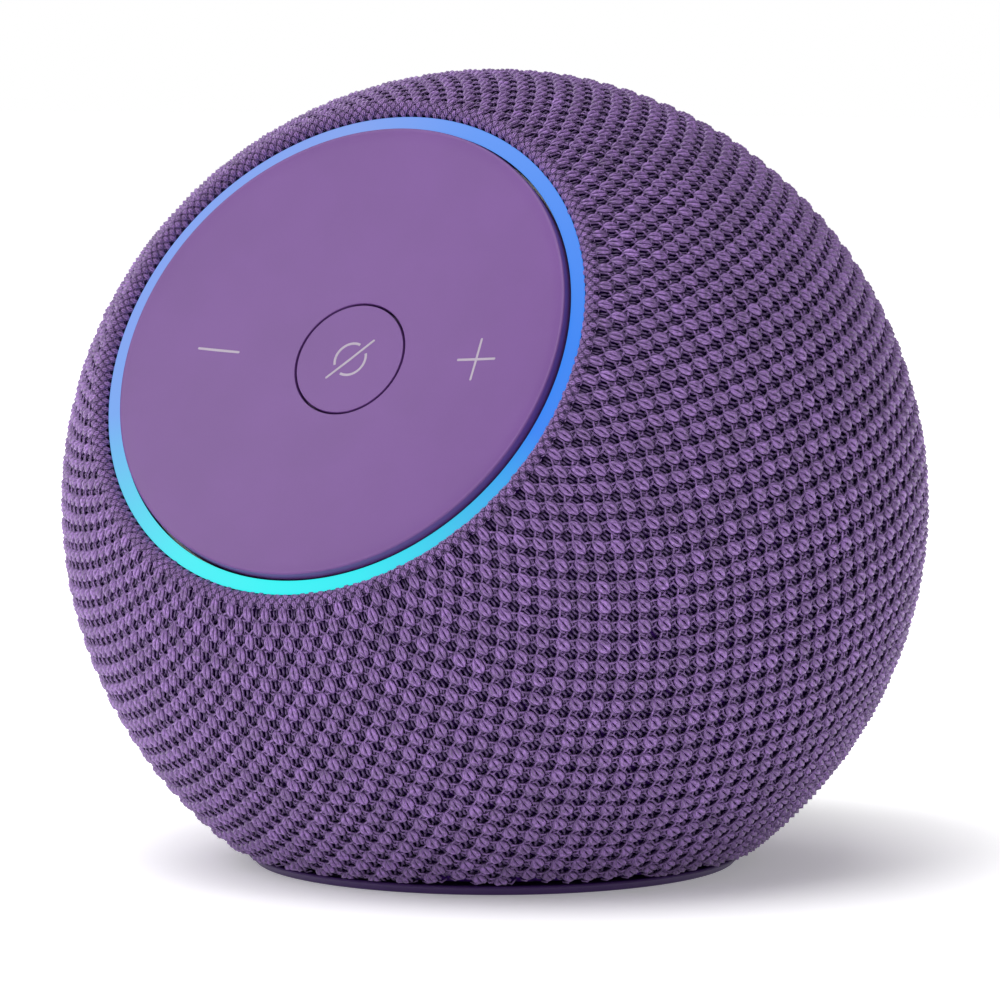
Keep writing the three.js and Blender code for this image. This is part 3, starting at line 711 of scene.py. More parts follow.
def rounded_corner(corner: tuple[float, float], inward: tuple[float, float],
                   onward: tuple[float, float], radius: float,
                   steps: int = 4) -> list[tuple[float, float]]:
    """Return the points of a small round that takes a square corner off a profile.

    Args:
        corner: the sharp corner's radius and height.
        inward: the direction back along the profile before the corner.
        onward: the direction along the profile after it.
        radius: how far from the corner the round starts and ends.
        steps: how many steps it has.

    Returns:
        The points from the start of the round to its end.
    """
    points = []
    for step in range(steps + 1):
        turn = math.pi / 2 * step / steps
        back, forth = 1 - math.sin(turn), 1 - math.cos(turn)
        points.append((corner[0] + radius * (inward[0] * back + onward[0] * forth),
                       corner[1] + radius * (inward[1] * back + onward[1] * forth)))
    return points


@dataclass
class ControlFace:
    """The dished control disc, the mute button in it and the marks on them."""

    axis: TurningAxis
    dish: Dish
    thickness: float = 1.6 * MM
    rim_round: float = 0.25 * MM
    hole_round: float = 0.06 * MM
    button_gap: float = 0.3 * MM
    flange_thickness: float = 0.6 * MM
    stem_radius: float = 1.6 * MM
    mark_width: float = 0.34 * MM
    mark_rise: float = 0.04 * MM
    volume_reach: float = 18.1 * MM
    volume_length: float = 5.6 * MM
    mute_ring_radius: float = 2.1 * MM
    mute_slash_reach: float = 3.76 * MM
    mute_gap: float = 22.0
    mute_slant: float = 45.0

    def disc(self) -> bpy.types.Object:
        """Turn the disc with its side wall, dished, with a rounded rim and hole.

        Returns:
            The disc.
        """
        inner, outer = self.axis.reach("control_disc")
        wall_foot = self.axis.span("light_ring")[0]
        wall_inner = outer - self.thickness
        profile = [(inner, self.dish.height(inner) - self.thickness)]
        hole = (inner, self.dish.height(inner))
        profile += rounded_corner(hole, (0, -1), (1, 0), self.hole_round)
        profile += self.dish.line(inner + 2 * self.hole_round, outer - 2 * self.rim_round)
        profile += rounded_corner((outer, self.dish.rim), (-1, 0), (0, -1), self.rim_round)
        profile += [(outer, wall_foot), (wall_inner, wall_foot)]
        profile += self.dish.line(wall_inner, inner, self.thickness)
        piece = Bench.turn("control_disc_face", self.axis, profile)
        return Bench.fit(piece, Body.SPEAKER, "purple_plastic", PURPLE, "control_disc")

    def button(self) -> bpy.types.Object:
        """Turn the mute button with the flange that keeps it under the disc.

        Returns:
            The button.
        """
        edge = self.axis.reach("control_disc")[0] - self.button_gap
        flange = self.axis.reach("mute_button")[1]
        stem_end = self.axis.span("mute_button")[0]
        flange_top = self.dish.height(0) - self.thickness - self.button_gap
        flange_foot = flange_top - self.flange_thickness
        profile = self.dish.line(0, edge - 2 * self.hole_round, steps=8)
        profile += rounded_corner((edge, self.dish.height(edge)), (-1, 0), (0, -1), self.hole_round)
        profile += [(edge, flange_top), (flange, flange_top), (flange, flange_foot)]
        profile += [(self.stem_radius, flange_foot), (self.stem_radius, stem_end), (0, stem_end)]
        piece = Bench.turn("mute_button_cap", self.axis, profile, SMALL_SEGMENTS * 2)
        return Bench.fit(piece, Body.BUTTON, "purple_plastic", PURPLE, "mute_button")

    def bar(self, name: str, length: float, turn: float, middle: float) -> bpy.types.Object:
        """Stretch a small ball into a bar that lies flat, before it is laid on the dish.

        Args:
            name: the new piece's name.
            length: the bar's length from tip to tip.
            turn: how far it is turned from the across direction, in radians.
            middle: how far across the disc its middle is.

        Returns:
            The bar, in the plane of x across and y up.
        """
        half = self.mark_width / 2
        Bench.deselect()
        bpy.ops.mesh.primitive_uv_sphere_add(segments=16, ring_count=8, radius=half,
                                             rotation=(0, math.pi / 2, 0))
        bpy.ops.object.transform_apply(location=False, rotation=True, scale=False)
        piece = Bench.name_active(name)
        bpy.ops.object.mode_set(mode="EDIT")
        for side in (-1, 1):
            bpy.ops.mesh.select_all(action="DESELECT")
            bpy.ops.object.mode_set(mode="OBJECT")
            for vertex in piece.data.vertices:
                vertex.select = vertex.co.x * side > MERGE_GAP
            bpy.ops.object.mode_set(mode="EDIT")
            bpy.ops.transform.translate(value=(side * (length / 2 - half), 0, 0))
        bpy.ops.mesh.select_all(action="SELECT")
        bpy.ops.transform.resize(value=(1, 1, self.mark_rise / half), center_override=(0, 0, 0))
        bpy.ops.object.mode_set(mode="OBJECT")
        piece.data.transform(Matrix.Translation((middle, 0, 0)) @ Matrix.Rotation(turn, 4, "Z"))
        return piece

    def arc(self, name: str, start: float, end: float) -> bpy.types.Object:
        """Spin a flattened bead into a part of the mute mark's ring.

        Args:
            name: the new piece's name.
            start: the angle where it starts, in degrees from the across direction.
            end: the angle where it ends.

        Returns:
            The arc, in the plane of x across and y up.
        """
        half = self.mark_width / 2
        Bench.deselect()
        bpy.ops.mesh.primitive_circle_add(vertices=12, radius=half, fill_type="NGON",
                                          rotation=(math.pi / 2, 0, 0))
        bpy.ops.object.transform_apply(location=False, rotation=True, scale=False)
        piece = Bench.name_active(name)
        bpy.ops.object.mode_set(mode="EDIT")
        bpy.ops.mesh.select_all(action="SELECT")
        bpy.ops.transform.resize(value=(1, 1, self.mark_rise / half), center_override=(0, 0, 0))
        bpy.ops.transform.translate(value=(self.mute_ring_radius, 0, 0))
        sweep = math.radians(end - start)
        bpy.ops.mesh.spin(steps=24, angle=sweep, center=(0, 0, 0), axis=(0, 0, 1))
        Bench.close_up()
        low = min(math.atan2(v.co.y, v.co.x) for v in piece.data.vertices)
        piece.data.transform(Matrix.Rotation(math.radians(start) - low, 4, "Z"))
        return piece

    def lay(self, piece: bpy.types.Object) -> None:
        """Lay a flat mark on the dish.

        Args:
            piece: the mark, in the plane of x across and y up.
        """
        for vertex in piece.data.vertices:
            across, up, rise = vertex.co
            surface = self.axis.at(across, self.dish.height(math.hypot(across, up)) + rise)
            vertex.co = surface + self.axis.up * up
        piece.data.update()
        Bench.smooth(piece)

    def marks(self) -> list[bpy.types.Object]:
        """Make the two touch marks on the disc and the mute mark on the button.

        Returns:
            The marks.
        """
        right = self.volume_reach
        upright = math.pi / 2
        minus = self.bar("volume_down_mark", self.volume_length, 0, -right)
        plus = Bench.join([self.bar("plus_level", self.volume_length, 0, right),
                           self.bar("plus_upright", self.volume_length, upright, right)],
                          "volume_up_mark")
        slant = self.mute_slant
        mute = Bench.join([
            self.bar("mute_slash", 2 * self.mute_slash_reach, math.radians(slant), 0),
            self.arc("mute_arc_below", slant - 180 + self.mute_gap, slant - self.mute_gap),
            self.arc("mute_arc_above", slant + self.mute_gap, slant + 180 - self.mute_gap),
        ], "mute_mark")
        for mark, body in ((minus, Body.SPEAKER), (plus, Body.SPEAKER), (mute, Body.BUTTON)):
            self.lay(mark)
            Bench.fit(mark, body, "purple_plastic", TOUCH_MARK)
        return [minus, plus, mute]


@dataclass
class LightRing:
    """The lit diffuser between the disc and the knitted cover, with its side walls in a dark blue that
    stands for painted shade.
    """

    axis: TurningAxis
    crown: float = 0.25 * MM
    power: float = 0.92
    shade_lean: float = 0.35

    def glow(self) -> Glow:
        """Return the light's finish: cyan at the bottom, through blue to a paler blue at the left.

        Returns:
            The finish.
        """
        cyan, pale, blue = paint(60, 252, 250), paint(137, 170, 244), paint(60, 138, 248)
        hues = ((0.0, cyan), (0.07, paint(84, 246, 250)), (0.13, paint(104, 218, 246)),
                (0.2, paint(128, 176, 246)), (0.26, pale), (0.46, pale), (0.55, paint(106, 160, 250)),
                (0.74, blue), (0.8, blue), (0.87, paint(66, 198, 240)), (0.94, paint(58, 242, 248)),
                (1.0, cyan))
        return Glow("ring_light_diffuser", paint(10, 16, 50), 0.5, grain=0.2 * MM,
                    depth=0.003 * MM, specular=0.1, across=tuple(self.axis.across),
                    up=tuple(self.axis.up), centre=tuple(self.axis.origin), hues=hues,
                    power=self.power)

    def ring(self) -> bpy.types.Object:
        """Turn the ring with a slightly crowned face.

        Returns:
            The ring.
        """
        inner, outer = self.axis.reach("light_ring")
        foot, top = self.axis.span("light_ring")
        profile = [(inner, foot)]
        profile += rounded_corner((inner, top), (0, -1), (1, 0), self.crown)
        profile += rounded_corner((outer, top), (-1, 0), (0, -1), self.crown)
        profile += [(outer, foot), (inner, foot)]
        piece = Bench.turn("light_ring_diffuser", self.axis, profile)
        Bench.fit(piece, Body.SPEAKER, "light_diffuser", self.glow(), "light_ring")
        # painted shade: the side walls get a dark blue that does not glow, standing for the shade in
        # the gap beside the disc
        piece.data.materials.append(RING_WALL_SHADE.material())
        for face in piece.data.polygons:
            if face.normal.dot(self.axis.along) < self.shade_lean:
                face.material_index = 1
        return piece


Places = tuple[tuple[float, float, float], ...]


@dataclass(frozen=True)
class Station:
    """A point on a strand's middle line, and how thick the strand is there."""

    place: Vector
    radius: float


@dataclass(frozen=True)
class Strand:
    """One short run of yarn, drawn as a tube with closed ends."""

    name: str
    stations: tuple[Station, ...]
    sides: int

    @property
    def heading(self) -> Vector:
        """Return the direction from the strand's first station to its last."""
        return (self.stations[-1].place - self.stations[0].place).normalized()

    def draw(self) -> bpy.types.Object:
        """Extrude the tube along its stations.

        Returns:
            The tube, with its x across the column, its y along it and its z outward.
        """
        first = self.stations[0]
        Bench.deselect()
        bpy.ops.mesh.primitive_circle_add(vertices=self.sides, radius=first.radius, fill_type="NGON",
                                          rotation=self.heading.to_track_quat("Z", "Y").to_euler())
        bpy.ops.object.transform_apply(location=False, rotation=True, scale=False)
        piece = Bench.name_active(self.name)
        bpy.ops.object.mode_set(mode="EDIT")
        bpy.ops.mesh.select_all(action="SELECT")
        bpy.ops.transform.translate(value=first.place)
        for here, there in zip(self.stations, self.stations[1:]):
            step = there.place - here.place
            bpy.ops.mesh.extrude_region_move(TRANSFORM_OT_translate={"value": step})
            bpy.ops.transform.resize(value=(there.radius / here.radius,) * 3,
                                     center_override=there.place)
        Bench.close_up()
        return piece

    def lie(self, point: Vector) -> tuple[float, float]:
        """Return where a point of the tube lies on the yarn.

        Args:
            point: the point.

        Returns:
            How far round the strand it is, in turns, and how far along it, in millimetres.
        """
        start, heading = self.stations[0].place, self.heading
        marks = [(station.place - start).dot(heading) for station in self.stations]
        along = (point - start).dot(heading)
        middle = Vector([np.interp(along, marks, [station.place[part] for station in self.stations])
                         for part in range(3)])
        arm = point - middle
        side = heading.cross(Vector((0, 0, 1)))
        return math.atan2(arm.dot(side), arm.z) / math.tau, along / MM


@dataclass(frozen=True)
class Template:
    """A stitch as arrays, ready to be laid many times over."""

    points: np.ndarray
    faces: list[tuple[int, ...]]
    lay: np.ndarray


@dataclass
class Stitch:
    """The loop that the cover is knitted of: two fat legs round a slit, with thinner yarn round it.

    Sizes are those of a stitch at the ball's widest round. The places of the thin strands are how
    far across, along and outward each station is, in millimetres, for the strand at the right.
    """

    half_length: float = 1.1 * MM
    slit: float = 0.07 * MM
    belly: float = 0.40 * MM
    leg_radius: float = 0.41 * MM
    tip_radius: float = 0.19 * MM
    tip_drop: float = 0.5 * MM
    petal_radius: float = 0.22 * MM
    tie_radius: float = 0.15 * MM
    back_radius: float = 0.24 * MM
    leg_sides: int = 5
    leg_steps: int = 5
    thin_sides: int = 4
    petal_places: Places = ((0.45, -1.5, -0.95), (0.95, -0.65, -0.72), (1.0, 0.55, -0.7),
                            (0.5, 1.4, -1.0))
    lower_tie_places: Places = ((0.1, -0.95, -0.6), (0.75, -1.4, -0.46), (1.5, -1.75, -0.85))
    upper_tie_places: Places = ((0.3, 0.95, -0.8), (0.95, 1.15, -0.5), (1.65, 1.0, -0.85))
    back_places: Places = ((1.6, -0.8, -1.2), (1.66, 0.0, -0.92), (1.55, 0.75, -1.2))

    def leg(self, side: int) -> Strand:
        """Return one fat leg of the loop, pointed at both ends.

        Args:
            side: 1 for the leg at the right, -1 for the one at the left.

        Returns:
            The leg.
        """
        stations = []
        for step in range(self.leg_steps + 1):
            share = step / self.leg_steps
            swell = math.sin(math.pi * share)
            radius = self.tip_radius + (self.leg_radius - self.tip_radius) * math.sqrt(swell)
            across = side * (self.slit + self.belly * swell)
            along = self.half_length * (2 * share - 1)
            depth = -radius - self.tip_drop * (1 - swell)
            stations.append(Station(Vector((across, along, depth)), radius))
        return Strand(f"leg_{side}", tuple(stations), self.leg_sides)

    def run(self, name: str, side: int, radius: float, places: Places) -> Strand:
        """Return a thin strand through places given for the right side, in millimetres.

        Args:
            name: what the strand is.
            side: 1 for the strand at the right, -1 for its mirror image at the left.
            radius: the strand's radius.
            places: how far across, along and outward each of its stations is.

        Returns:
            The strand.
        """
        stations = tuple(Station(Vector((side * x * MM, y * MM, z * MM)), radius)
                         for x, y, z in places)
        return Strand(f"{name}_{side}", stations, self.thin_sides)

    def strands(self) -> list[Strand]:
        """Return every strand of the stitch.

        Returns:
            The legs, the petals that lie against them, the ties that cross to the next rows, and
            the backs of the loops that show in the holes at the sides.
        """
        thin = (("petal", self.petal_radius, self.petal_places),
                ("lower_tie", self.tie_radius, self.lower_tie_places),
                ("upper_tie", self.tie_radius, self.upper_tie_places),
                ("back", self.back_radius, self.back_places))
        made = []
        for side in (-1, 1):
            made.append(self.leg(side))
            made += [self.run(name, side, radius, places) for name, radius, places in thin]
        return made

    def template(self) -> Template:
        """Model the stitch once and measure it.

        Returns:
            Its points, its faces, and how the yarn runs at each point: round the strand in
            turns, then along it in millimetres.
        """
        points, faces, lay = [], [], []
        for strand in self.strands():
            piece = strand.draw()
            start = len(points)
            for vertex in piece.data.vertices:
                points.append(tuple(vertex.co))
                lay.append(strand.lie(vertex.co))
            faces += [tuple(start + index for index in face.vertices) for face in piece.data.polygons]
            bpy.data.objects.remove(piece)
        return Template(np.array(points), faces, np.array(lay))


@dataclass
class CoverLine:
    """The line that the cover's columns follow, from its lip round the ball to its tuck.

    It comes up beside the light ring, rolls over the lip, runs round the ball and rolls in again
    at the port plate.
    """

    ball_radius: float
    lip_radius: float
    tuck_radius: float
    lip_roll: float = 1.0 * MM
    tuck_roll: float = 0.6 * MM
    roll_turn: float = math.radians(92)
    samples: int = 600
    roll_samples: int = 100

    def __post_init__(self) -> None:
        """Sample the line."""
        lip_lean = math.asin((self.lip_radius + self.lip_roll) / (self.ball_radius - self.lip_roll))
        tuck_lean = math.pi - math.asin((self.tuck_radius + self.tuck_roll)
                                        / (self.ball_radius - self.tuck_roll))
        leans = np.concatenate([
            np.linspace(lip_lean - self.roll_turn, lip_lean, self.roll_samples, endpoint=False),
            np.linspace(lip_lean, tuck_lean, self.samples, endpoint=False),
            np.linspace(tuck_lean, tuck_lean + self.roll_turn, self.roll_samples),
        ])
        held = np.clip(leans, lip_lean, tuck_lean)
        roll = np.where(leans < lip_lean, self.lip_roll,
                        np.where(leans > tuck_lean, self.tuck_roll, 0.0))
        centre = self.ball_radius - roll
        self.radii = centre * np.sin(held) + roll * np.sin(leans)
        self.heights = centre * np.cos(held) + roll * np.cos(leans)
        self.leans = leans
        steps = np.hypot(np.diff(self.radii), np.diff(self.heights))
        self.lengths = np.concatenate([[0.0], np.cumsum(steps)])

    @property
    def length(self) -> float:
        """Return the line's length."""
        return float(self.lengths[-1])

    def at(self, along: np.ndarray) -> tuple[np.ndarray, np.ndarray, np.ndarray]:
        """Return where the line is and which way it leans.

        Args:
            along: distances along the line.

        Returns:
            The radius, the height and the lean of the outward direction from the axis.
        """
        beyond = along - np.clip(along, 0, self.length)
        radius = np.interp(along, self.lengths, self.radii)
        height = np.interp(along, self.lengths, self.heights)
        lean = np.interp(along, self.lengths, self.leans)
        return radius + beyond * np.cos(lean), height - beyond * np.sin(lean), lean


@dataclass(frozen=True)
class Course:
    """A band of rows of stitches round the ball.

    Its start and pitch are lengths along the columns; a grown of 1 is the stitch's full size.
    """

    columns: int
    start: float
    pitch: float
    rows: int
    grown: float = 1.0


@dataclass
class KnitCover:
    """The knitted cover: a dark ground cloth, whose dark purple is painted shade in the gaps between
    the loops, with its loops standing on it, in gores.
    """

    axis: TurningAxis
    ball_radius: float
    hem_height: float
    columns: int = 88
    row_pitch: float = 1.805 * MM
    stitch_room: float = 1.94 * MM
    gores: int = 11
    lip_rows: int = 4
    lip_pitch: float = 0.72 * MM
    lip_start: float = -0.5 * MM
    lip_grown: float = 0.5
    hem_lift: float = 0.25 * MM
    crown_depth: float = 0.25 * MM
    shade_depth: float = 0.8 * MM
    ground_drop: float = 1.35 * MM
    ground_thickness: float = 0.4 * MM
    ground_inset: float = 0.6 * MM
    ground_rings: int = 72
    ground_segments: int = 144
    edge_gap: float = 0.15 * MM
    plate_depth: float = 0.6 * MM
    place_jitter: float = 0.04 * MM
    rise_jitter: float = 0.035 * MM
    settle: float = 0.05 * MM
    twist_jitter: float = math.radians(4.5)
    tone_jitter: float = 0.08
    tone_range: tuple[float, float] = (0.8, 1.2)
    least_squeeze: float = 0.55
    squeeze_power: float = 0.6
    yarn_length: float = 50.0
    flat_size: tuple[float, float] = (0.256, 0.132)
    seed: int = 88

    def line(self) -> CoverLine:
        """Return the line of the columns, between the light ring and the port plate."""
        lip = self.axis.reach("light_ring")[1] + self.edge_gap
        tuck = self.plate_radius() + self.edge_gap
        return CoverLine(self.ball_radius, lip, tuck)

    def plate_radius(self) -> float:
        """Return the radius of the port plate where the cover ends round it."""
        points = frame_points("port_plate") - np.array(self.axis.origin)
        faces = points[np.linalg.norm(points, axis=1) > self.ball_radius - self.plate_depth]
        along = np.array(self.axis.along)
        arms = faces - np.outer(faces @ along, along)
        return float(np.linalg.norm(arms, axis=1).max())

    def ground(self) -> bpy.types.Object:
        """Make the ground cloth: turned, cut off level at the hem, then given its thickness.

        Returns:
            The ground cloth.
        """
        radius = self.ball_radius - self.ground_drop
        lip = math.asin((self.axis.reach("light_ring")[1] + self.ground_inset) / radius)
        tuck = math.pi - math.asin((self.plate_radius() + self.ground_inset) / radius)
        leans = np.linspace(lip, tuck, self.ground_rings)
        profile = [self.axis.at(radius * math.sin(lean), radius * math.cos(lean)) for lean in leans]
        piece = Bench.outline("knit_ground_cloth", profile)
        bpy.ops.mesh.select_all(action="SELECT")
        bpy.ops.mesh.spin(steps=self.ground_segments, angle=math.tau, center=self.axis.origin,
                          axis=self.axis.along)
        bpy.ops.mesh.select_all(action="SELECT")
        bpy.ops.mesh.remove_doubles(threshold=MERGE_GAP)
        bpy.ops.mesh.select_all(action="SELECT")
        bpy.ops.mesh.bisect(plane_co=(0, 0, self.hem_height), plane_no=(0, 0, 1), clear_inner=True)
        bpy.ops.mesh.select_all(action="SELECT")
        bpy.ops.mesh.normals_make_consistent(inside=False)
        bpy.ops.object.mode_set(mode="OBJECT")
        self.face_outward(piece)
        Bench.modify(piece, "SOLIDIFY", thickness=self.ground_thickness, offset=-1.0)
        Bench.smooth(piece)
        # the cloth's dark purple is painted shade in the gaps between the loops
        return Bench.fit(piece, Body.SPEAKER, "yarn", KNIT_GAP_SHADE, "knit_cover")

    def face_outward(self, cloth: bpy.types.Object) -> None:
        """Turn an open cloth's faces away from the ball's centre.

        Args:
            cloth: the cloth before it has a thickness.
        """
        face = cloth.data.polygons[0]
        if (face.center - self.axis.origin).dot(face.normal) < 0:
            cloth.data.flip_normals()

    def courses(self, line: CoverLine) -> tuple[Course, Course]:
        """Return the bands of rows: the fine ones that roll over the lip, then all the others.

        Args:
            line: the line that the columns follow.

        Returns:
            The lip's band and the main band.
        """
        lip = Course(2 * self.columns, self.lip_start, self.lip_pitch, self.lip_rows, self.lip_grown)
        start = self.lip_start + self.lip_rows * self.lip_pitch + self.row_pitch / 3
        rows = int((line.length - start) / self.row_pitch) + 1
        return lip, Course(self.columns, start, self.row_pitch, rows)

    def laid(self, template: Template, line: CoverLine, course: Course, share: tuple[int, int],
             random: np.random.Generator) -> tuple[np.ndarray, np.ndarray]:
        """Lay the stitches of some columns of a band on the ball, except those below the hem.

        Args:
            template: the stitch.
            line: the line that the columns follow.
            course: the band.
            share: which share of its columns to lay, and of how many.
            random: the source of the small differences between stitches.

        Returns:
            The points of each stitch, and each stitch's own tone.
        """
        part, parts = share
        columns = np.arange(course.columns * part // parts, course.columns * (part + 1) // parts)
        column, row = (grid.ravel() for grid in np.meshgrid(columns, np.arange(course.rows)))
        turn = (column + 0.5 * (row % 2)) * math.tau / course.columns
        count = len(turn)
        along = course.start + row * course.pitch + random.normal(0, self.place_jitter, count)
        slip = random.normal(0, self.place_jitter, count)
        rise = random.normal(0, self.rise_jitter, count) - self.settle
        twist = random.normal(0, self.twist_jitter, count)
        tone = random.normal(1.0, self.tone_jitter, count).clip(*self.tone_range)
        x, y, z = template.points.T * course.grown
        here = along[:, None] + y + x * np.sin(twist)[:, None]
        radius, height, lean = line.at(here)
        reach = np.interp(along, line.lengths, line.radii)
        room = reach * math.pi / course.columns
        squeeze = (room / self.stitch_room / course.grown)[:, None]
        across = (x * np.cos(twist)[:, None]) * squeeze + slip[:, None] * squeeze
        out = z * squeeze.clip(self.least_squeeze, 1.0) ** self.squeeze_power + rise[:, None]
        angle = turn[:, None] + across / reach[:, None]
        radius = radius + out * np.sin(lean)
        height = height + out * np.cos(lean)
        arm = np.cos(angle)[..., None] * np.array(self.axis.across)
        arm = arm + np.sin(angle)[..., None] * np.array(self.axis.up)
        points = arm * radius[..., None] + height[..., None] * np.array(self.axis.along)
        points = points + np.array(self.axis.origin)
        kept = points[:, :, 2].mean(axis=1) > self.hem_height
        points[:, :, 2] = points[:, :, 2].clip(self.hem_height - self.hem_lift, None)
        return points[kept], tone[kept]

    def gore(self, name: str, template: Template, stitches: np.ndarray,
             tones: np.ndarray, random: np.random.Generator) -> bpy.types.Object:
        """Gather laid stitches into one piece.

        Args:
            name: the piece's name.
            template: the stitch.
            stitches: the points of each stitch.
            tones: each stitch's tone.
            random: the source of the yarn's start in each stitch.

        Returns:
            The gore.
        """
        count, size = len(stitches), len(template.points)
        faces = [tuple(stitch * size + index for index in face)
                 for stitch in range(count) for face in template.faces]
        mesh = bpy.data.meshes.new(name)
        mesh.from_pydata(stitches.reshape(-1, 3), [], faces)
        mesh.shade_smooth()
        # painted shade: the deeper a point of the stitch lies below its crown, the more its colour is
        # blended to the dark purple
        depth = (-template.points[:, 2] - self.crown_depth) / self.shade_depth
        sunk_shade = np.tile(depth.clip(0, 1), count)
        start = np.repeat(random.uniform(0, self.yarn_length, count), size)
        lay = np.concatenate([np.tile(template.lay, (count, 1)), start[:, None]], axis=1)
        layers = (("sunk_shade", "FLOAT", "value", sunk_shade), ("tone", "FLOAT", "value", np.repeat(tones, size)),
                  ("lay", "FLOAT_VECTOR", "vector", lay.ravel()))
        for label, kind, field, values in layers:
            mesh.attributes.new(label, kind, "POINT").data.foreach_set(field, values.astype(np.float32))
        piece = bpy.data.objects.new(name, mesh)
        bpy.context.scene.collection.objects.link(piece)
        return Bench.fit(piece, Body.SPEAKER, "yarn", KNIT_YARN)

    def loops(self) -> list[bpy.types.Object]:
        """Make the gores of stitches.

        Returns:
            The gores.
        """
        template, line = Stitch().template(), self.line()
        random = np.random.default_rng(self.seed)
        made = []
        for index in range(self.gores):
            bands = [self.laid(template, line, course, (index, self.gores), random)
                     for course in self.courses(line)]
            stitches, tones = (np.concatenate(arrays) for arrays in zip(*bands))
            made.append(self.gore(f"knit_gore_{index + 1}", template, stitches, tones, random))
        return made


@dataclass
class FootRing:
    """The low ring that the speaker stands on."""

    axis: TurningAxis
    taper: float = 0.95 * MM
    edge_round: float = 0.35 * MM
    wall_slope: float = 0.3

    def ring(self) -> bpy.types.Object:
        """Turn the ring, narrower at the table than under the cover.

        Returns:
            The ring.
        """
        inner, outer = self.axis.reach("foot_ring")
        foot, top = self.axis.span("foot_ring")
        lower = outer - self.taper
        profile = [(inner, foot)]
        slope = self.wall_slope
        profile += rounded_corner((lower, foot), (-1, 0), (slope, 1), self.edge_round)
        profile += rounded_corner((outer, top), (-slope, -1), (-1, 0), self.edge_round)
        profile += [(inner, top), (inner, foot)]
        piece = Bench.turn("foot_ring_moulding", self.axis, profile)
        return Bench.fit(piece, Body.SPEAKER, "purple_plastic", FOOT_PURPLE, "foot_ring")


@dataclass
class PortPlate:
    """The round plate that the cover ends round at the back, with the power socket in it."""

    axis: TurningAxis
    ball_radius: float
    radius: float
    recess: float = 0.45 * MM
    thickness: float = 1.45 * MM
    edge_round: float = 0.4 * MM
    port_radius: float = 4.6 * MM
    port_wall: float = 1.4 * MM
    mouth_bevel: float = 0.25 * MM
    rim_inset: float = 0.1 * MM
    rim_drop: float = 0.05 * MM
    bore_start: float = 20 * MM
    bore_end: float = 70 * MM
    sleeve_gap: float = 0.02 * MM
    jack_gap: float = 0.3 * MM
    jack_bore: float = 2.75 * MM
    jack_floor: float = 1.2 * MM
    jack_round: float = 0.25 * MM

    def port_axis(self) -> TurningAxis:
        """Return the level line that the socket is round about, from the ball's centre plane."""
        low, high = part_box("power_pin")
        middle = (low + high) / 2
        return TurningAxis(Vector((middle.x, 0, middle.z)), Vector((0, 1, 0)), Vector((1, 0, 0)))

    def plate(self) -> bpy.types.Object:
        """Turn the plate, bore its port and line the bore with a sleeve.

        Returns:
            The plate.
        """
        face = self.ball_radius - self.recess
        under = face - self.thickness
        edge = math.asin((self.radius - self.edge_round) / face)
        profile = [(face * math.sin(lean), -face * math.cos(lean)) for lean in np.linspace(0, edge, 24)]
        rim = -math.sqrt(face ** 2 - self.radius ** 2)
        profile += [(self.radius - self.rim_inset, rim + self.rim_drop)]
        profile += [(self.radius, rim + self.edge_round)]
        under_edge = math.asin(self.radius / under)
        profile += [(under * math.sin(lean), -under * math.cos(lean))
                    for lean in np.linspace(under_edge, 0, 12)]
        piece = Bench.turn("port_plate_cap", self.axis, profile)
        port = self.port_axis()
        corners = [(0, self.bore_start), (self.port_radius, self.bore_start),
                   (self.port_radius, self.bore_end), (0, self.bore_end)]
        bore = Bench.turn("port_bore", port, corners, SMALL_SEGMENTS * 2)
        Bench.modify(piece, "BOOLEAN", operation="DIFFERENCE", object=bore, solver="EXACT")
        bpy.data.objects.remove(bore)
        Bench.modify(piece, "BEVEL", width=self.mouth_bevel, segments=3, limit_method="ANGLE",
                     angle_limit=math.radians(50))
        return Bench.join([piece, self.sleeve(port)], "port_plate_cap")

    def sleeve(self, port: TurningAxis) -> bpy.types.Object:
        """Turn the sleeve that lines the port, cut off square to the plate inside its thickness.

        Args:
            port: the axis of the port.

        Returns:
            The sleeve.
        """
        inner, outer = self.port_radius + self.sleeve_gap, self.port_radius + self.port_wall
        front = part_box("power_jack")[1].y + self.jack_gap
        profile = [(inner, front), (outer, front), (outer, self.bore_end), (inner, self.bore_end),
                   (inner, front)]
        piece = Bench.turn("port_sleeve", port, profile, SMALL_SEGMENTS * 2)
        cut = self.axis.at(0, -(self.ball_radius - self.recess - self.thickness / 2))
        bpy.ops.object.mode_set(mode="EDIT")
        bpy.ops.mesh.select_all(action="SELECT")
        bpy.ops.mesh.bisect(plane_co=cut, plane_no=-self.axis.along, clear_outer=True, use_fill=True)
        bpy.ops.object.mode_set(mode="OBJECT")
        return piece

    def jack(self) -> bpy.types.Object:
        """Turn the socket's barrel, open at the back of the speaker.

        Returns:
            The barrel.
        """
        port = self.port_axis()
        foot, front = port.span("power_jack")
        outer = port.reach("power_jack")[1]
        floor = foot + self.jack_floor
        profile = [(0, foot), (outer, foot)]
        profile += rounded_corner((outer, front), (0, -1), (-1, 0), self.jack_round)
        profile += rounded_corner((self.jack_bore, front), (1, 0), (0, -1), self.jack_round)
        profile += [(self.jack_bore, floor), (0, floor)]
        piece = Bench.turn("power_socket_barrel", port, profile, SMALL_SEGMENTS)
        return Bench.fit(piece, Body.SPEAKER, "dark_plastic", DARK_PLASTIC, "power_jack")

    def build(self) -> list[bpy.types.Object]:
        """Make the plate and the socket.

        Returns:
            The pieces.
        """
        plate = self.plate()
        Bench.smooth(plate)
        return [Bench.fit(plate, Body.SPEAKER, "dark_plastic", DARK_PLASTIC, "port_plate"), self.jack()]


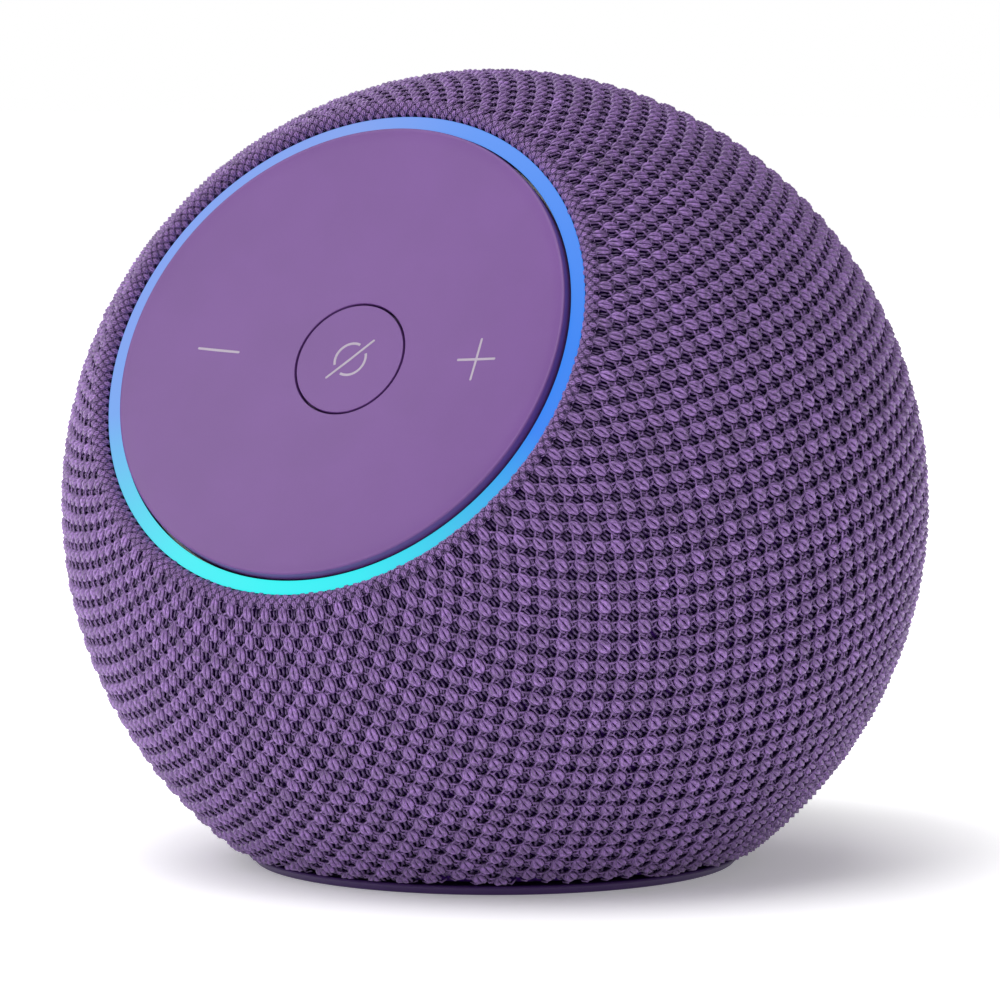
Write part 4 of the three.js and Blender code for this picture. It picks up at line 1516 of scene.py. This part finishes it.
@dataclass
class InnerParts:
    """The working parts inside, which keep their shape from the frame and get their finish here."""

    nodes: dict[str, bpy.types.Object]
    subparts: list[dict]

    def finishes(self) -> dict[str, Finish]:
        """Return the finish of each slot of the record."""
        return {
            "yarn": KNIT_GAP_SHADE,
            "purple_plastic": PURPLE,
            "light_diffuser": Finish("clear_white_diffuser", paint(225, 228, 240), 0.35, 0.02),
            "white_plastic": Finish("white_reflector_plastic", paint(236, 236, 232), 0.42, 0.03,
                                    0.2 * MM, 0.006 * MM),
            "circuit_board": Printed("green_circuit_board", paint(26, 86, 58), 0.38, grain=0.15 * MM,
                                     depth=0.02 * MM, trace=paint(58, 128, 84)),
            "flex_film": Printed("amber_flex_film", paint(166, 96, 34), 0.3, grain=0.2 * MM,
                                 depth=0.01 * MM, trace=paint(206, 146, 62), pitch=2.2 * MM),
            "black_chip": Finish("black_switch_plastic", paint(26, 26, 28), 0.5, 0.08, 0.15 * MM),
            "dark_plastic": DARK_PLASTIC,
            "zinc_steel": Finish("zinc_plated_steel", paint(190, 192, 196), 0.34, 0.06, 0.12 * MM,
                                 0.006 * MM, (1, 1, 4), 1.0),
            "aluminium": Finish("brushed_aluminium", paint(206, 207, 210), 0.36, 0.05, 0.1 * MM,
                                0.006 * MM, (8, 1, 1), 1.0),
            "ferrite": Finish("pressed_ferrite", paint(58, 56, 58), 0.62, 0.12, 0.3 * MM, 0.03 * MM),
            "surround_rubber": Finish("butyl_surround_rubber", paint(30, 30, 32), 0.6, 0.08,
                                      0.25 * MM, 0.015 * MM, sheen=0.1),
            "cone_paper": Woven("pressed_cone_paper", paint(52, 50, 52), 0.8, 0.12, 0.2 * MM,
                                0.03 * MM, pitch=0.35 * MM),
            "spider_cloth": Woven("resined_spider_cloth", paint(190, 142, 70), 0.75, 0.1,
                                  0.2 * MM, 0.05 * MM, pitch=0.4 * MM),
            "copper_coil": Woven("copper_winding", paint(196, 112, 64), 0.32, 0.08, 0.2 * MM,
                                 0.05 * MM, metallic=1.0, pitch=0.14 * MM, crossed=False),
        }

    def dress(self) -> int:
        """Give every node its slot's finish.

        Returns:
            How many nodes were dressed.
        """
        finishes = self.finishes()
        for part in self.subparts:
            for slot in self.nodes[part["node"]].material_slots:
                slot.material = finishes[part["material_slot"]].material()
        return len(self.subparts)


@dataclass
class Studio:
    """A pale floor, a pale room, soft lamps and the camera."""

    centre: Vector
    azimuth: float = math.radians(30.4)
    elevation: float = math.radians(4.95)
    distance: float = 0.665
    lens: float = 190.9
    shift: tuple[float, float] = (0.00496, 0.00255)
    floor_size: float = 12.0
    room_light: float = 0.22
    backdrop: float = 1.0
    floor_light: tuple[float, float] = (0.26, 0.82)
    dim_reach: float = 0.035
    bright_reach: float = 0.115

    def direction(self, azimuth: float, elevation: float) -> Vector:
        """Return the direction from the speaker to a place in the room.

        Args:
            azimuth: the angle round the speaker, from its front to its right.
            elevation: the angle above the table.

        Returns:
            The direction.
        """
        level = math.cos(elevation)
        return Vector((math.sin(azimuth) * level, -math.cos(azimuth) * level, math.sin(elevation)))

    def camera(self) -> None:
        """Stand the camera in front of the speaker, a little above its middle."""
        back = self.direction(self.azimuth, self.elevation)
        data = bpy.data.cameras.new("camera")
        data.lens = self.lens
        data.shift_x, data.shift_y = self.shift
        data.clip_start = 0.05
        camera = bpy.data.objects.new("camera", data)
        bpy.context.scene.collection.objects.link(camera)
        camera.location = self.centre + back * self.distance
        camera.rotation_euler = back.to_track_quat("Z", "Y").to_euler()
        bpy.context.scene.camera = camera

    def lamp(self, name: str, azimuth: float, elevation: float, away: float, size: float,
             power: float) -> None:
        """Hang a square soft lamp that faces the speaker.

        Args:
            name: the lamp's name.
            azimuth: its angle round the speaker from the camera, in degrees.
            elevation: its angle above the table, in degrees.
            away: its distance.
            size: the length of its side.
            power: its power in watts.
        """
        data = bpy.data.lights.new(name, "AREA")
        data.size = size
        data.energy = power
        back = self.direction(self.azimuth + math.radians(azimuth), math.radians(elevation))
        lamp = bpy.data.objects.new(name, data)
        bpy.context.scene.collection.objects.link(lamp)
        lamp.location = self.centre + back * away
        lamp.rotation_euler = back.to_track_quat("Z", "Y").to_euler()

    def lamps(self) -> None:
        """Hang the lamps: a main one high at the left, and weaker ones at the right, above, behind."""
        self.lamp("main_lamp", azimuth=-62, elevation=50, away=1.1, size=1.2, power=10.8)
        self.lamp("fill_lamp", azimuth=75, elevation=35, away=1.2, size=0.5, power=0.15)
        self.lamp("top_lamp", azimuth=-10, elevation=75, away=1.0, size=0.7, power=3.5)
        self.lamp("back_lamp", azimuth=-165, elevation=40, away=1.3, size=0.8, power=3.5)

    def floor(self) -> None:
        """Lay the pale floor, lit from below, dim near the speaker as a painted shadow round its base
        and full away from it so that it stays white.
        """
        Bench.deselect()
        bpy.ops.mesh.primitive_plane_add(size=self.floor_size)
        floor = Bench.name_active("studio_floor")
        recipe = Recipe("pale_floor")
        recipe.fix(Base_Color=paint(250, 250, 251), Roughness=0.9, Specular_IOR_Level=0.0,
                   Emission_Color=(1.0, 1.0, 1.0, 1.0))
        # painted shadow: the floor's glow is dim near the speaker and full away from it
        away = recipe.add("VectorMath", operation="LENGTH")
        recipe.link(recipe.place(), away.inputs[0])
        light = recipe.remap(away.outputs["Value"], (self.dim_reach, self.bright_reach),
                             self.floor_light, interpolation_type="SMOOTHSTEP")
        recipe.link(light, recipe.shader.inputs["Emission Strength"])
        floor.data.materials.append(recipe.material)

    def room(self) -> None:
        """Fill the room with even pale light, dimmer on the speaker than behind it."""
        world = bpy.data.worlds.new("pale_room")
        world.use_nodes = True
        nodes, links = world.node_tree.nodes, world.node_tree.links
        lit, seen = nodes["Background"], nodes.new("ShaderNodeBackground")
        for background, strength in ((lit, self.room_light), (seen, self.backdrop)):
            background.inputs["Color"].default_value = (1.0, 1.0, 1.0, 1.0)
            background.inputs["Strength"].default_value = strength
        ray, choice = nodes.new("ShaderNodeLightPath"), nodes.new("ShaderNodeMixShader")
        links.new(ray.outputs["Is Camera Ray"], choice.inputs["Fac"])
        links.new(lit.outputs["Background"], choice.inputs[1])
        links.new(seen.outputs["Background"], choice.inputs[2])
        links.new(choice.outputs["Shader"], nodes["World Output"].inputs["Surface"])
        bpy.context.scene.world = world
        bpy.context.scene.view_settings.view_transform = "Standard"

    def build(self) -> None:
        """Set up the whole studio."""
        self.room()
        self.floor()
        self.lamps()
        self.camera()


def disc_axis(frame: dict, centre: Vector) -> TurningAxis:
    """Return the control disc's axis, which the mute button is pressed along.

    Args:
        frame: the loaded frame.
        centre: the ball's centre.

    Returns:
        The axis, pointing out of the disc, with its across direction to the right.
    """
    press = next(joint for joint in frame["joints"] if joint["name"] == "mute_button_press")
    outward = -Vector(press["axis"]).normalized()
    return TurningAxis(centre, outward, Vector((1, 0, 0)))


def main() -> None:
    """Build the speaker round its frame, and the studio round the speaker."""
    logging.basicConfig(level=logging.INFO, format="%(name)s: %(message)s")
    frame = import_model()
    low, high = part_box("knit_cover")
    ball_radius = (high.x - low.x) / 2
    centre = Vector(((low.x + high.x) / 2, 0, high.z - ball_radius))
    axis = disc_axis(frame, centre)
    LOG.info("ball radius %.2f mm, centre %.2f mm up", ball_radius / MM, centre.z / MM)

    dressed = InnerParts(frame["nodes"], frame["record"]["subparts"]).dress()
    LOG.info("inner parts: %d dressed", dressed)

    face = ControlFace(axis, Dish(axis, DISC_DISH))
    face.disc()
    face.button()
    face.marks()
    LightRing(axis).ring()

    cover = KnitCover(axis, ball_radius, low.z)
    ground = cover.ground()
    loops = cover.loops()

    table_axis = TurningAxis(Vector((0, 0, 0)), Vector((0, 0, 1)), Vector((1, 0, 0)))
    FootRing(table_axis).ring()
    PortPlate(axis, ball_radius, cover.plate_radius()).build()

    Studio(centre).build()


if __name__ == "__main__":
    main()
